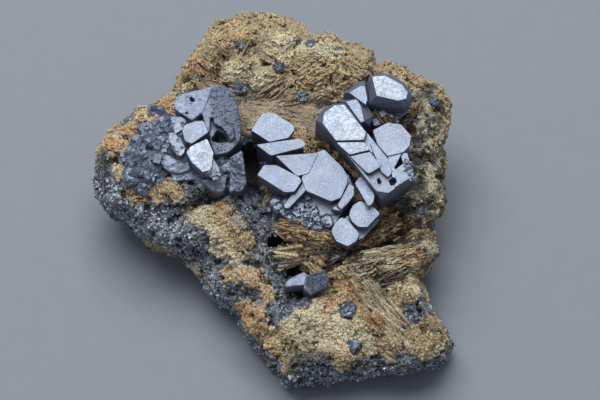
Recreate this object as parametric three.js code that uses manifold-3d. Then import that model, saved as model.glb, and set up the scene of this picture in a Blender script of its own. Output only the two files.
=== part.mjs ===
// Skeletal galena: clusters of stepped, hopper-grown lead-grey crystals on a wedge of tan fibrous rock
// whose left and front flanks are fine dark sulphide. Millimetres, +Z up, resting on its broken underside.
//
// Outlines are given as seen along one line of sight, which looks down on the specimen from the front:
// [across, up] in millimetres at the specimen's middle. The crystal faces lean less than that plane does.
import * as THREE from "three";
import { ConvexGeometry } from "three/addons/geometries/ConvexGeometry.js";
import { mergeVertices } from "three/addons/utils/BufferGeometryUtils.js";
import Module from "manifold-3d";

const wasm = await Module();
wasm.setup();

// Driving dimensions, in millimetres and degrees.
const sightDistance = 600;
const sightRise = 58;
const faceRise = 75;
const middleHeight = 28;
const middle = { x: 4.66, y: -4.2 };
const fitGap = 0.3;

const sightTurn = THREE.MathUtils.degToRad(90 - sightRise);
const faceTurn = THREE.MathUtils.degToRad(sightRise - faceRise);
const faceSlope = Math.tan(faceTurn);

const sightToWorld = new THREE.Matrix4().makeRotationX(sightTurn).setPosition(0, 0, middleHeight);
const worldToSight = sightToWorld.clone().invert();
const benchToSight = new THREE.Matrix4().makeRotationX(faceTurn);

// The rock's edge as seen, clockwise from the top left.
const outline = [
  [-20, 53.5], [-14.7, 56], [-9.7, 56], [-2.4, 54.6], [5, 52.8], [7.8, 50.2], [14, 50], [15.2, 47.4],
  [21.3, 47.4], [25.5, 44.4], [27.3, 40.6], [34.2, 41.3], [38.9, 37.8], [47.3, 33.3], [49.2, 28],
  [48.5, 22.5], [47.3, 17], [47.7, 6.4], [48.2, 1.2], [46.5, -4.2], [42.6, -6.8], [43.5, -11],
  [45.9, -15.3], [43.5, -19], [43.4, -22], [41.2, -23.6], [42, -28], [46.5, -35], [50.7, -43.2],
  [49, -48.6], [42, -51.6], [29.7, -53.2], [22.8, -53.4], [9.8, -55.5], [3, -56.7], [-1, -54.6],
  [-5.5, -48.6], [-14.7, -34.8], [-21.6, -30.2], [-26.2, -23.4], [-31.5, -16.4], [-42.3, -13.4],
  [-46.8, -8.2], [-53, -3.6], [-56.8, 0.3], [-58.2, 7.2], [-56.8, 13.3], [-53.7, 18], [-45.3, 27],
  [-39.3, 28.8], [-33.9, 31.8], [-30, 40.2], [-24.6, 48.6],
];

// How the top rolls over into the flanks: [direction in degrees, width of the roll, drop at the edge].
const flanks = [
  [-180, 7, 16], [-160, 13, 17], [-140, 13, 17], [-112, 11, 15], [-90, 8, 12], [-60, 8, 12], [-42, 7, 13],
  [-28, 6, 14], [0, 5, 13], [22, 5, 9], [45, 4, 6], [90, 4, 5], [115, 4, 5], [142, 4, 6], [162, 5, 10],
  [180, 7, 16],
];

// How far the footprint reaches towards the edge: [direction in degrees, share of the way].
const footprint = [
  [-180, 0.6], [-150, 0.7], [-110, 0.9], [-70, 0.94], [-30, 0.88], [10, 0.84], [60, 0.84], [110, 0.84],
  [150, 0.68], [180, 0.6],
];

// Swells and hollows of the rock's top: where, half-widths, turn in degrees, and rise.
const swells = [
  // back
  { at: [-13, 45], half: [17, 9], turn: 0, rise: 3.4 },
  { at: [14, 43], half: [13, 6], turn: -20, rise: 2.4 },
  { at: [-12, 37.5], half: [3.5, 3], turn: 0, rise: -2.6 },
  { at: [-19, 40], half: [5, 2.6], turn: 60, rise: -2 },
  { at: [4, 45], half: [5, 2.6], turn: 20, rise: -2 },
  { at: [12, 37], half: [5, 2.6], turn: -10, rise: 1.6 },
  { at: [4, 27.5], half: [20, 5], turn: -5, rise: -2.4 },
  // right
  { at: [42, 14], half: [7, 18], turn: 0, rise: 2.2 },
  { at: [32, 27], half: [8, 6], turn: 0, rise: 3.5 },
  { at: [43.5, 12], half: [2.8, 2.8], turn: 0, rise: -2.6 },
  { at: [41, -2.5], half: [3, 2.6], turn: 0, rise: -2.4 },
  { at: [38.5, 37], half: [3.2, 2.6], turn: 0, rise: -2 },
  // trough under the overhanging end of the long crystal, and the notch below it
  { at: [30.5, -9.5], half: [9.5, 5], turn: 48, rise: -5 },
  { at: [39, -24], half: [8, 3], turn: 18, rise: -3.4 },
  // cavities between the crystal groups and in the bladed ledge
  { at: [-10.5, 8.5], half: [4, 8], turn: 0, rise: -9 },
  { at: [-1.5, -13], half: [3.2, 2.4], turn: 0, rise: -8 },
  { at: [3.6, -20.5], half: [3.8, 3.2], turn: 20, rise: -6.5 },
  // bladed ledge
  { at: [4, -13.5], half: [13, 6.5], turn: 8, rise: 4.6 },
  { at: [20, -17.5], half: [12, 5], turn: 20, rise: 3.2 },
  // sugary crust on the front
  { at: [17, -38], half: [15, 10], turn: 0, rise: 3 },
  { at: [8, -33], half: [5, 3.5], turn: 20, rise: 1.8 },
  { at: [13, -47], half: [6, 3.5], turn: -5, rise: 1.4 },
  { at: [37.5, -34.5], half: [5, 3.6], turn: -35, rise: -2.4 },
  { at: [36, -42], half: [5, 11], turn: 32, rise: 1.8 },
  { at: [-12, -24], half: [5, 4], turn: -40, rise: 2.4 },
  { at: [-5, -34], half: [5, 4], turn: -50, rise: 2 },
  { at: [-18, -8], half: [8.5, 6], turn: -20, rise: 3.4 },
  { at: [-8, -11], half: [4, 5], turn: 0, rise: -2 },
  // left
  { at: [-25.5, -2], half: [7, 2.8], turn: 30, rise: -3.8 },
  { at: [-32, 1], half: [9, 4.5], turn: 5, rise: 3.6 },
  { at: [-50, 12], half: [6, 8], turn: 0, rise: 1.6 },
  { at: [-44, 24], half: [8, 4], turn: 38, rise: 1.8 },
];

// Bundles of fibres that fan out over the front right: their focus, spread and rise.
const fan = { at: [16, -19], from: -80, to: 30, bundles: 5, near: 6, far: 34, rise: 1.1 };

const leadGrey = { color: 0xa9b0bd, roughness: 0.35, metalness: 0.9 };
const tarnishedGrey = { color: 0x6d7180, roughness: 0.5, metalness: 0.7 };
const darkGrain = { color: 0x3c424d, roughness: 0.45, metalness: 0.7 };
const tanRock = { color: 0xb89f74, roughness: 0.95, metalness: 0 };

// A smooth value between listed [direction, value, ...] rows; column picks the value.
function alongDirections(rows, degrees, column) {
  const next = rows.findIndex((row) => row[0] >= degrees);
  if (next <= 0) return rows[0][column];
  const [before, after] = [rows[next - 1], rows[next]];
  const share = (degrees - before[0]) / (after[0] - before[0]);
  return before[column] + share * (after[column] - before[column]);
}

const outlinePolar = outline
  .map(([x, y]) => [THREE.MathUtils.radToDeg(Math.atan2(y, x)), Math.hypot(x, y)])
  .sort((a, b) => a[0] - b[0]);
outlinePolar.unshift([outlinePolar.at(-1)[0] - 360, outlinePolar.at(-1)[1]]);
outlinePolar.push([outlinePolar[1][0] + 360, outlinePolar[1][1]]);

// A pseudo-random value from 0 to 1 for a lattice point.
function latticeValue(i, j, k) {
  const wave = Math.sin(i * 127.1 + j * 311.7 + k * 74.7) * 43758.5453;
  return wave - Math.floor(wave);
}

// Smooth noise from -1 to 1 with one lattice cell per unit.
function noise(x, y, z) {
  const cell = [x, y, z].map(Math.floor);
  const ease = [x, y, z].map((value, axis) => {
    const t = value - cell[axis];
    return t * t * (3 - 2 * t);
  });
  let sum = 0;
  for (let corner = 0; corner < 8; corner++) {
    const step = [corner & 1, (corner >> 1) & 1, corner >> 2];
    const weight = step.reduce((product, s, axis) => product * (s ? ease[axis] : 1 - ease[axis]), 1);
    sum += weight * latticeValue(cell[0] + step[0], cell[1] + step[1], cell[2] + step[2]);
  }
  return sum * 2 - 1;
}

// Ridges of the fanning fibre bundles, fading out at the fan's four sides.
function fanRise(across, up) {
  const [dx, dy] = [across - fan.at[0], up - fan.at[1]];
  const degrees = THREE.MathUtils.radToDeg(Math.atan2(dy, dx));
  const reach = Math.hypot(dx, dy);
  const turn = (degrees - fan.from) / (fan.to - fan.from);
  if (turn <= 0 || turn >= 1 || reach <= fan.near || reach >= fan.far) return 0;
  const fade = Math.sin(Math.PI * turn) * Math.sin((Math.PI * (reach - fan.near)) / (fan.far - fan.near));
  return fan.rise * Math.sqrt(fade) * Math.cos(2 * Math.PI * fan.bundles * turn);
}

// Depth of the rock's top along the sight, before it rolls over at the edge.
function topDepth(across, up) {
  let depth = faceSlope * up;
  for (const { at, half, turn, rise } of swells) {
    const angle = THREE.MathUtils.degToRad(turn);
    const [dx, dy] = [across - at[0], up - at[1]];
    const u = (dx * Math.cos(angle) + dy * Math.sin(angle)) / half[0];
    const v = (dy * Math.cos(angle) - dx * Math.sin(angle)) / half[1];
    depth += rise * Math.exp(-((u * u + v * v) ** 2));
  }
  const lumps = 1.3 * noise(across / 7, up / 7, 3) + 0.6 * noise(across / 3.6, up / 3.6, 8);
  return depth + fanRise(across, up) + lumps;
}

// The place in sight space of a point that is seen at [across, up] and lies at that depth towards the eye.
function seenAt(across, up, depth) {
  const closer = 1 - depth / sightDistance;
  return new THREE.Vector3(across * closer, up * closer, depth);
}

// The rock's front sheet: polar share from 0 at the middle to 1 at the edge.
function frontPoint(degrees, share) {
  const edge = alongDirections(outlinePolar, degrees, 1);
  const angle = THREE.MathUtils.degToRad(degrees);
  const [across, up] = [Math.cos(angle) * edge * share, Math.sin(angle) * edge * share];
  const width = alongDirections(flanks, degrees, 1) * (1 + 0.4 * noise(across / 6, up / 6, 31));
  const roll = THREE.MathUtils.clamp(1 - ((1 - share) * edge) / width, 0, 1);
  const drop = alongDirections(flanks, degrees, 2) * (1 - Math.sqrt(1 - roll * roll));
  return seenAt(across, up, topDepth(across, up) - drop);
}

// The rock's hidden flank and underside: share 0 at the edge, 1 at the footprint.
function flankPoint(degrees, share) {
  const rim = frontPoint(degrees, 1).applyMatrix4(sightToWorld);
  const reach = alongDirections(footprint, degrees, 1);
  const tuck = 1 + (reach - 1) * share ** 1.8;
  const bulge = 1.5 * Math.sin(Math.PI * share) * noise(rim.x / 9, rim.y / 9, share * 4);
  const spread = tuck * (1 + bulge / 50);
  const foot = -0.6 + 1.2 * noise(rim.x / 8, rim.y / 8, 20);
  const height = rim.z + (foot - rim.z) * share ** 1.1;
  return new THREE.Vector3(rim.x * spread, rim.y * spread, height).applyMatrix4(worldToSight);
}

// A closed manifold solid from any closed three.js geometry.
function solidFrom(geometry) {
  const bare = geometry.clone();
  bare.deleteAttribute("normal");
  bare.deleteAttribute("uv");
  const merged = mergeVertices(bare, 1e-4);
  return new wasm.Manifold(
    new wasm.Mesh({
      numProp: 3,
      vertProperties: new Float32Array(merged.attributes.position.array),
      triVerts: new Uint32Array(merged.index.array),
    }),
  );
}

function geometryFrom(solid) {
  const mesh = solid.getMesh();
  const points = new Float32Array(mesh.numVert * 3);
  for (let i = 0; i < mesh.numVert; i++) {
    points.set(mesh.vertProperties.subarray(i * mesh.numProp, i * mesh.numProp + 3), i * 3);
  }
  const geometry = new THREE.BufferGeometry();
  geometry.setAttribute("position", new THREE.BufferAttribute(points, 3));
  geometry.setIndex(new THREE.BufferAttribute(new Uint32Array(mesh.triVerts), 1));
  geometry.computeVertexNormals();
  return geometry;
}

// The rock as one closed sheet: a square grid drawn onto the seen outline, then rings down the hidden side.
function rockGeometry() {
  const cells = 28;
  const rimRings = 3;
  const points = [];
  const faces = [];
  const gridIndex = (i, j) => j * (cells + 1) + i;
  for (let j = 0; j <= cells; j++) {
    for (let i = 0; i <= cells; i++) {
      const [a, b] = [(2 * i) / cells - 1, (2 * j) / cells - 1];
      const wide = Math.abs(a) > Math.abs(b);
      const radius = wide ? a : b;
      const turn = wide ? (45 * b) / a : b === 0 ? 0 : 90 - (45 * a) / b;
      const angle = radius < 0 ? turn + 180 : turn;
      const degrees = THREE.MathUtils.euclideanModulo(angle + 180, 360) - 180;
      points.push(frontPoint(degrees, 1 - (1 - Math.abs(radius)) ** 1.25));
    }
  }
  for (let j = 0; j < cells; j++) {
    for (let i = 0; i < cells; i++) {
      const corners = [gridIndex(i, j), gridIndex(i + 1, j), gridIndex(i + 1, j + 1), gridIndex(i, j + 1)];
      const [p, q, r, s] = corners;
      faces.push(...(i < cells / 2 === j < cells / 2 ? [p, q, r, p, r, s] : [p, q, s, q, r, s]));
    }
  }
  const rim = [];
  for (let step = 0; step < cells; step++) rim.push(gridIndex(step, 0));
  for (let step = 0; step < cells; step++) rim.push(gridIndex(cells, step));
  for (let step = 0; step < cells; step++) rim.push(gridIndex(cells - step, cells));
  for (let step = 0; step < cells; step++) rim.push(gridIndex(0, cells - step));
  const rimDegrees = rim.map((_, step) => {
    const degrees = -135 + (360 * step) / rim.length;
    return degrees > 180 ? degrees - 360 : degrees;
  });
  let ring = rim;
  for (let level = 1; level <= rimRings; level++) {
    const share = Math.min(level / (rimRings - 1), 1);
    const inner = rimDegrees.map((degrees) => {
      const point = flankPoint(degrees, share);
      if (level === rimRings) {
        const foot = point.applyMatrix4(sightToWorld);
        point.set(foot.x * 0.8, foot.y * 0.8, -1.5).applyMatrix4(worldToSight);
      }
      return points.push(point) - 1;
    });
    ring.forEach((corner, step) => {
      const next = (step + 1) % ring.length;
      faces.push(corner, inner[step], ring[next], ring[next], inner[step], inner[next]);
    });
    ring = inner;
  }
  const base = points.push(new THREE.Vector3(0, 0, -1.5).applyMatrix4(worldToSight)) - 1;
  ring.forEach((corner, step) => faces.push(corner, base, ring[(step + 1) % ring.length]));
  return new THREE.BufferGeometry().setFromPoints(points).setIndex(faces);
}

// Where a face corner seen at [across, up] lies on the crystal faces' own plane, at that height above it.
function onFace([across, up], height) {
  const [sin, cos] = [Math.sin(-faceTurn), Math.cos(faceTurn)];
  const along = (sightDistance * cos - height) / (sightDistance * cos - up * sin);
  const depth = sightDistance * (1 - along);
  return new THREE.Vector2(along * across, cos * along * up - sin * depth);
}

// A convex outline moved outwards by a distance, each edge kept parallel.
function grown(corners, distance) {
  return corners.map((corner, i) => {
    const before = corner.clone().sub(corners.at(i - 1)).normalize();
    const after = corners[(i + 1) % corners.length].clone().sub(corner).normalize();
    const turn = before.x * after.y - before.y * after.x;
    const out = before.clone().sub(after);
    return corner.clone().addScaledVector(out, distance / Math.max(Math.abs(turn), 0.2));
  });
}

// The corners of a crystal's wider waist, below its face: the facets between the two slope.
function skirtPoints({ face, top }, bottom, extra) {
  const flat = face.map((corner) => onFace(corner, top));
  const area = flat.reduce((sum, p, i) => sum + p.cross(flat[(i + 1) % flat.length]), 0);
  const ordered = grown(area < 0 ? flat.reverse() : flat, extra);
  const ringAt = (height) => ordered.map(({ x, y }) => new THREE.Vector3(x, y, height));
  return [...ringAt(top + extra), ...ringAt(bottom)];
}

// A galena block: a flat cube face, its corners cut by octahedral facets, on upright sides down to its foot,
// or only as deep as it says. With a skirt, its sides slope out from the face to that wider outline first.
// cut is one size for all corners or a list of sizes, and lean tips the face in degrees per axis, so that
// neighbouring blocks catch the light differently.
function block({ face, top, deep, cut = 0.3, lean = [0, 0], skirt }, foot, extra = 0) {
  const bottom = (deep === undefined ? foot : top - deep) - extra;
  const flat = face.map((corner) => onFace(corner, top));
  const area = flat.reduce((sum, p, i) => sum + p.cross(flat[(i + 1) % flat.length]), 0);
  const cuts = face.map((_, i) => [cut].flat()[i % [cut].flat().length]);
  if (area < 0) {
    flat.reverse();
    cuts.reverse();
  }
  const ordered = grown(flat, extra);
  const centre = ordered.reduce((sum, p) => sum.add(p), new THREE.Vector2()).divideScalar(ordered.length);
  const [leanX, leanY] = lean.map((degrees) => Math.tan(THREE.MathUtils.degToRad(degrees)));
  const heightAt = (p) => top + extra - leanX * (p.x - centre.x) - leanY * (p.y - centre.y);
  const points = [];
  ordered.forEach((corner, i) => {
    const toBefore = ordered.at(i - 1).clone().sub(corner);
    const toAfter = ordered[(i + 1) % ordered.length].clone().sub(corner);
    const facet = Math.min(cuts[i], toBefore.length() * 0.45, toAfter.length() * 0.45);
    for (const way of facet > 0 ? [toBefore, toAfter] : []) {
      const edge = corner.clone().addScaledVector(way.normalize(), facet);
      points.push(new THREE.Vector3(edge.x, edge.y, heightAt(edge)));
    }
    points.push(new THREE.Vector3(corner.x, corner.y, heightAt(corner) - facet));
    points.push(new THREE.Vector3(corner.x, corner.y, bottom));
  });
  if (skirt) points.push(...skirtPoints(skirt, bottom, extra));
  return solidFrom(new ConvexGeometry(points));
}

// The face of a small crystal: a square seen turned, a little wider than high.
function squareFace(at, half, turn) {
  return [45, 135, 225, 315].map((degrees) => {
    const angle = THREE.MathUtils.degToRad(degrees + turn);
    return [at[0] + half * 1.35 * Math.cos(angle), at[1] + half * 1.2 * Math.sin(angle)];
  });
}

// Small crystals crowded together: each has its own turn, height and lean, and the larger are cut.
function crowd({ places, top, spread, tip, seed }) {
  return places.map(([x, y, half], i) => {
    const [turn, rise, leanX, leanY] = [1, 2, 3, 4].map((k) => latticeValue(i, k, seed) * 2 - 1);
    const face = squareFace([x, y], half, 40 * turn);
    const cut = half > 1.5 ? half * 0.35 : 0;
    return { face, top: top + spread * rise, cut, lean: [tip * leanX, tip * leanY] };
  });
}

function union(solids) {
  return solids.reduce((joined, solid) => joined.add(solid));
}

// The biggest piece, where a cut by a neighbour leaves chips.
function biggest(solid) {
  return solid.decompose().reduce((best, piece) => (piece.volume() > best.volume() ? piece : best));
}

// Each cluster: the blocks grown together in it and the hollows sunk in it.
const clusters = {
  galena_skeletal_crystal: {
    look: leadGrey,
    foot: -5.8,
    body: [
      {
        face: [[9.9, 24.3], [13.8, 28.2], [18, 28.5], [33.3, 9.6], [35.1, 4.8], [29.1, 0.8]],
        top: 13.2, cut: 2.4,
      },
    ],
    hollows: [
      {
        face: [[21.9, 11.2], [26.9, 4.6], [32.1, 4.2], [33.9, 7], [29.7, 12], [25.5, 15]],
        top: 14, deep: 1.7, cut: 0.1,
      },
    ],
    blocks: [
      {
        face: [
          [11.4, 23], [11.7, 26], [14.9, 28.4], [17.8, 28.6], [20.3, 25.4], [24.4, 20.2],
          [23.7, 18], [15.4, 17.8],
        ],
        top: 15.2, cut: 0, lean: [-1, 1],
        skirt: {
          face: [
            [9.2, 23.9], [10.8, 26.6], [14.4, 28.9], [18.2, 29], [24.6, 20.2], [24, 17.8],
            [15.1, 17.7],
          ],
          top: 13.4,
        },
      },
      {
        face: [[15.4, 17.3], [23.6, 17.5], [25.5, 15.1], [19.5, 13.6]],
        top: 14.7, cut: 0.4, lean: [1, 0],
      },
      {
        face: [[19.6, 13.1], [25.6, 14.5], [29, 10.1], [25.6, 8.1], [24.7, 8.1]],
        top: 14.2, cut: 0.3, lean: [0.5, 1],
      },
      {
        face: [[25.6, 16.9], [27.6, 16.4], [30.8, 12.3], [32.2, 8.4], [31, 6.8], [29, 8.5]],
        top: 13.8, cut: 0.3,
      },
      { face: [[32, 8.2], [35.4, 10.9], [38.6, 7.2], [33.1, 3.8]], top: 13.6, cut: 0.2, lean: [-1, 0] },
      { face: [[34.9, 13], [35.6, 14.1], [36.8, 14.1], [38.4, 8.2], [36, 9.6]], top: 13.4, cut: 0.2 },
      {
        face: [
          [26.4, 20.9], [30.8, 23.2], [34.9, 22.7], [37.9, 19.3], [37.4, 16.2], [35.6, 14.3],
          [30.8, 13.2], [27.8, 16.7],
        ],
        top: 13.6, cut: 0.3,
      },
      { face: [[30.8, 14.1], [35.6, 15], [33.5, 11.4], [32.4, 8.6], [31.5, 10.2]], top: 13.2, cut: 0.3 },
      {
        face: [[33.2, 24.9], [38.2, 28.2], [39.6, 24], [38.7, 19.8], [34.8, 22.2]],
        top: 11.4, cut: 0.4, lean: [14, 0],
      },
      {
        face: [[21, 5.4], [22.8, 7.6], [27, 1.6], [26.6, -0.8], [25.1, -2.2]],
        top: 9.8, deep: 1.4, cut: 0.5, lean: [-8, 8],
      },
    ],
    pits: [
      { face: [[27.9, 7.4], [28.4, 7.9], [29.3, 6.6], [28.9, 5.8], [28, 6]], top: 16, deep: 6, cut: 0.1 },
      {
        face: [[31.4, 6.9], [32.3, 7.7], [33.5, 7.3], [33.8, 6.2], [33, 5.3], [31.9, 5.5]],
        top: 16, deep: 7, cut: 0.1,
      },
    ],
  },
  galena_crest_crystal: {
    look: leadGrey,
    foot: -3.5,
    body: [
      {
        face: [
          [26.2, 36.9], [30.2, 37.2], [35.2, 34.6], [36.9, 32.4], [36.4, 30.5], [34, 29.9],
          [27.5, 31.3], [27, 33.8],
        ],
        top: 14.6, cut: 0, lean: [2, -2],
        skirt: {
          face: [
            [24.4, 34.5], [25.2, 37], [28.1, 38], [31.6, 37.8], [36, 35], [37.9, 32], [37.4, 29],
            [35.6, 27.4], [28.1, 28.9], [25, 28.6],
          ],
          top: 11.6,
        },
      },
      {
        face: [[25, 29], [35.4, 29.4], [38, 26.6], [36, 23.6], [26.6, 22.4]],
        top: 6.6, cut: 0.3, lean: [0, -6],
      },
    ],
    blocks: crowd({
      places: [[27.2, 27, 1.2], [29.4, 26.2, 1.2], [31.6, 27.8, 1.1], [34, 26.8, 1.3]],
      top: 8.2, spread: 1.2, tip: 14, seed: 2,
    }),
  },
  galena_twin_steps: {
    look: leadGrey,
    foot: -3.8,
    body: [
      {
        face: [[19.3, 32.2], [22.6, 34.2], [24, 34.2], [24.8, 30.1], [24.2, 28.6], [21.9, 30.4]],
        top: 14.2, cut: 0, lean: [2, 2],
        skirt: {
          face: [[17.6, 32], [22.2, 35.6], [24.2, 35.8], [24.9, 33], [24.9, 28.6], [22, 29]],
          top: 11.6,
        },
      },
      {
        face: [[17.8, 29.3], [21.6, 30.4], [22.6, 28.6], [23.8, 23.6], [22.6, 23.2], [19.8, 27]],
        top: 13.6, cut: 0, lean: [2, 2],
        skirt: {
          face: [
            [16.2, 29.6], [21.6, 31], [24, 29.4], [26.6, 25.4], [25.4, 22.6], [22.6, 22.9],
            [19, 26.6],
          ],
          top: 10.8,
        },
      },
    ],
  },
  galena_west_block: {
    look: leadGrey,
    foot: -8.2,
    body: [
      {
        face: [[-8.3, 7.6], [-6.2, 10.5], [-2.5, 10.5], [4.4, 6.8], [5.1, 5.7], [2.9, 2.5], [0, 2.3]],
        top: 10.8, cut: 0.4, lean: [-1, 0],
      },
    ],
  },
  galena_central_cluster: {
    look: leadGrey,
    foot: -5.6,
    body: [
      {
        face: [
          [-5, -1], [5.1, 6.6], [18.9, 8.4], [20.7, 3], [18, -2.4], [14.4, -8], [4.5, -6.6],
          [-3, -3.6],
        ],
        top: 5.4, cut: 1,
      },
    ],
    blocks: [
      {
        face: [
          [5, 6.6], [9.5, 14.2], [11.8, 15.2], [17.4, 9.8], [18.9, 7], [18.7, 4.9], [16.8, 0.7],
          [13.9, -0.4], [6.3, 2.8],
        ],
        top: 9.5, cut: 0.4,
      },
      { face: [[5.1, 5.7], [6.3, 2.9], [1.3, -2.4], [0, -2.4], [-0.3, -1.6]], top: 9.2, cut: 0.3 },
      {
        face: [[-2.8, 13.2], [10, 14.2], [7.2, 8], [3.6, 7.2], [0, 10.6]],
        top: 9.9, cut: 0.4, lean: [1, -1],
      },
      {
        face: [[19.3, 4.8], [20.7, 4.2], [20.8, 1.6], [19.3, -0.5], [17.1, -2.9], [15.8, -1.5]],
        top: 8.7, cut: 0.3,
      },
      { face: [[13.9, -1.8], [16, -0.7], [17.7, -2.2], [16.8, -3.3], [14.3, -2.9]], top: 8.6, cut: 0.3 },
      {
        face: [
          [11.1, -5.1], [12.2, -3.9], [13.9, -4.3], [14.7, -6], [14.3, -7.7], [13, -8.4],
          [11.3, -7.3],
        ],
        top: 7.4, cut: 0.4,
      },
      {
        face: [[-4.9, 0.1], [-3.6, 1.3], [-1.5, 0.6], [-1.2, -0.9], [-2.4, -3], [-4.2, -1.8]],
        top: 6.8, cut: 0.3, lean: [-3, 2],
      },
      { face: [[-0.6, 0.6], [1.3, 1.6], [0.3, -0.9], [-2.1, -3.9], [-3.5, -3.3]], top: 7.3, cut: 0.3 },
      ...crowd({
        places: [
          [4.8, -1.2, 1.2], [6.8, 1, 1], [8.7, -2.8, 1.4], [3.3, -3.4, 1.1], [1.4, -4.7, 1],
          [4.5, -5.3, 1.2], [6.6, -4.2, 1.1], [9.6, -5.4, 1.2], [7.4, -7, 1.1], [-1.6, -1.4, 1],
        ],
        top: 7.2, spread: 0.8, tip: 6, seed: 4,
      }),
    ],
    pits: [{ face: squareFace([12.9, -6.6], 0.8, 20), top: 12, deep: 6, cut: 0 }],
  },
  galena_south_cluster: {
    look: leadGrey,
    foot: -8,
    body: [
      {
        face: [
          [19.7, -3], [20.6, -1.4], [22.7, -0.2], [26.7, -2.1], [28.6, -4], [24.8, -8.2],
          [21.9, -8], [20.2, -6.5], [19.3, -4.7],
        ],
        top: 8.2, cut: 0.4, lean: [1, 1],
      },
      {
        face: [
          [13.9, -9.4], [15.1, -6.9], [16.8, -5.2], [18.6, -5.7], [20.3, -7.7], [22.4, -10.2],
          [21.5, -12.3], [18.9, -13.9], [15.5, -12.4],
        ],
        top: 8, cut: 0.35, lean: [-1, 0],
      },
      { face: [[17.5, -5.2], [24.5, -3.2], [28.8, -5.6], [22.8, -12.2], [16.5, -11]], top: 4.6, cut: 1 },
    ],
  },
  galena_north_plate: {
    look: leadGrey,
    foot: -5.4,
    body: [
      {
        face: [
          [-10.1, 20.9], [-7, 25.8], [-5.3, 26.4], [-3, 25.9], [2.4, 22.6], [2.9, 21.1], [1, 18.6],
          [-4.7, 17.4],
        ],
        top: 7.6, cut: 0.3, lean: [0, 1],
      },
    ],
  },
  galena_north_strip: {
    look: leadGrey,
    foot: -5.2,
    body: [
      {
        face: [[-8.6, 16.6], [4.4, 18.5], [6.3, 17], [5.7, 15.8], [1.2, 14.8], [-4.2, 13.3]],
        top: 8.8, cut: 0.4,
      },
    ],
  },
  galena_left_upper_block: {
    look: leadGrey,
    foot: -5,
    body: [
      {
        face: [
          [-30.9, 21.2], [-30, 22.5], [-26.7, 23.7], [-24.4, 23.7], [-22.9, 20.4], [-27.9, 16.9],
          [-30, 17.8],
        ],
        top: 12, cut: 0.3,
      },
    ],
  },
  galena_left_lower_block: {
    look: leadGrey,
    foot: -5.2,
    body: [
      {
        face: [
          [-29.6, 14.4], [-28.1, 16.2], [-23.3, 18.4], [-21.4, 14.2], [-22, 9.4], [-24.5, 8.3],
          [-27.9, 11.3],
        ],
        top: 11.8, cut: 0.4, lean: [-1, -1],
      },
      {
        face: [[-24, 12], [-21.6, 12.6], [-19.4, 9.2], [-20.3, 7.3], [-23.9, 7.8]],
        top: 10.2, cut: 0.4, lean: [6, -8],
      },
    ],
  },
  galena_hopper_crystal: {
    look: tarnishedGrey,
    foot: -5.4,
    body: [
      {
        face: [
          [-25.5, 28.6], [-22.5, 33.8], [-20.6, 34.5], [-18.2, 34.1], [-16.1, 33], [-14.5, 29.7],
          [-13.2, 22.5], [-13.4, 18.1], [-17, 14.8], [-21.2, 13.8], [-24.3, 23.7],
        ],
        top: 8.6, cut: 1.4, lean: [7, -5],
      },
    ],
    hollows: [
      {
        face: [
          [-22.4, 25.2], [-18.5, 24.8], [-15, 22.4], [-14.5, 18], [-16.8, 15], [-21.1, 14.6],
          [-22.9, 19.3],
        ],
        top: 10, deep: 3.2, cut: 0,
      },
    ],
    blocks: [
      {
        face: [
          [-33.3, 30.2], [-30.5, 32], [-22.4, 33.9], [-22.2, 32.4], [-25.2, 26], [-27.9, 23.9],
          [-33.3, 27.4],
        ],
        top: 9.6, cut: [0.8, 0.5, 0.2], lean: [0, -3],
      },
      {
        face: [[-21.6, 25.2], [-18.3, 23.9], [-19, 21.9], [-21.3, 23]],
        top: 8.8, cut: 0.2, lean: [4, 0],
      },
      { face: [[-18.4, 24], [-15.2, 21.4], [-17, 19.3], [-19.1, 22]], top: 8.5, cut: 0.2, lean: [6, 0] },
      {
        face: [[-15.4, 21.4], [-15, 19], [-16.2, 17.8], [-17.2, 19.5]],
        top: 8.1, cut: 0.2, lean: [6, -4],
      },
    ],
    pits: [
      {
        face: [[-20.4, 21.8], [-18.3, 20.6], [-16.8, 18.2], [-20.2, 17.9], [-22.4, 18.7]],
        top: 9, deep: 9, cut: 0,
      },
      {
        face: [[-28.8, 31.6], [-28.3, 31.8], [-28, 30.9], [-27.1, 30.9], [-27.4, 30.3], [-28.4, 30.4]],
        top: 12, deep: 5, cut: 0.05,
      },
      { face: [[-30.1, 27.2], [-29.3, 27.4], [-29.2, 26.7], [-29.8, 26.5]], top: 12, deep: 4, cut: 0.05 },
      {
        face: [[-29.8, 25], [-29, 25.4], [-28.2, 24.6], [-28.6, 23.9], [-29.5, 24]],
        top: 12, deep: 5, cut: 0.05,
      },
    ],
  },
  galena_left_plates: {
    look: leadGrey,
    foot: -4.6,
    body: [
      {
        face: [
          [-35.1, 19.2], [-34.4, 20.4], [-33, 20.2], [-30.9, 18.1], [-29.8, 15.8], [-30, 14.1],
          [-31.3, 13], [-32.6, 13.6], [-34.2, 15.3],
        ],
        top: 8.8, cut: 0.3, lean: [-4, 1],
      },
      {
        face: [[-34.4, 24.8], [-30.3, 26], [-29.4, 23.7], [-30.9, 21], [-33.2, 19.6]],
        top: 8, cut: 0.3, lean: [-2, -2],
      },
      { face: [[-35.2, 23.2], [-30.2, 23.6], [-29.4, 15], [-33.8, 14.6]], top: 5.6, cut: 0.4 },
    ],
  },
  galena_crescent_plates: {
    look: tarnishedGrey,
    foot: -4.6,
    body: [
      {
        face: [
          [-37.4, 11.9], [-35.7, 13.5], [-34, 13.2], [-28.7, 11.7], [-28, 9.6], [-30, 8.5],
          [-31.7, 8.1], [-34.2, 8.6], [-36.3, 9.5],
        ],
        top: 5.8, cut: 0.4, lean: [0, -8],
      },
      {
        face: [[-34.2, 8.6], [-27.9, 8.6], [-26.6, 6.3], [-33.5, 5.5]],
        top: 4.4, cut: 0.3, lean: [0, 4],
      },
    ],
  },
  galena_pillar: {
    look: tarnishedGrey,
    foot: -6.4,
    body: [
      {
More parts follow.
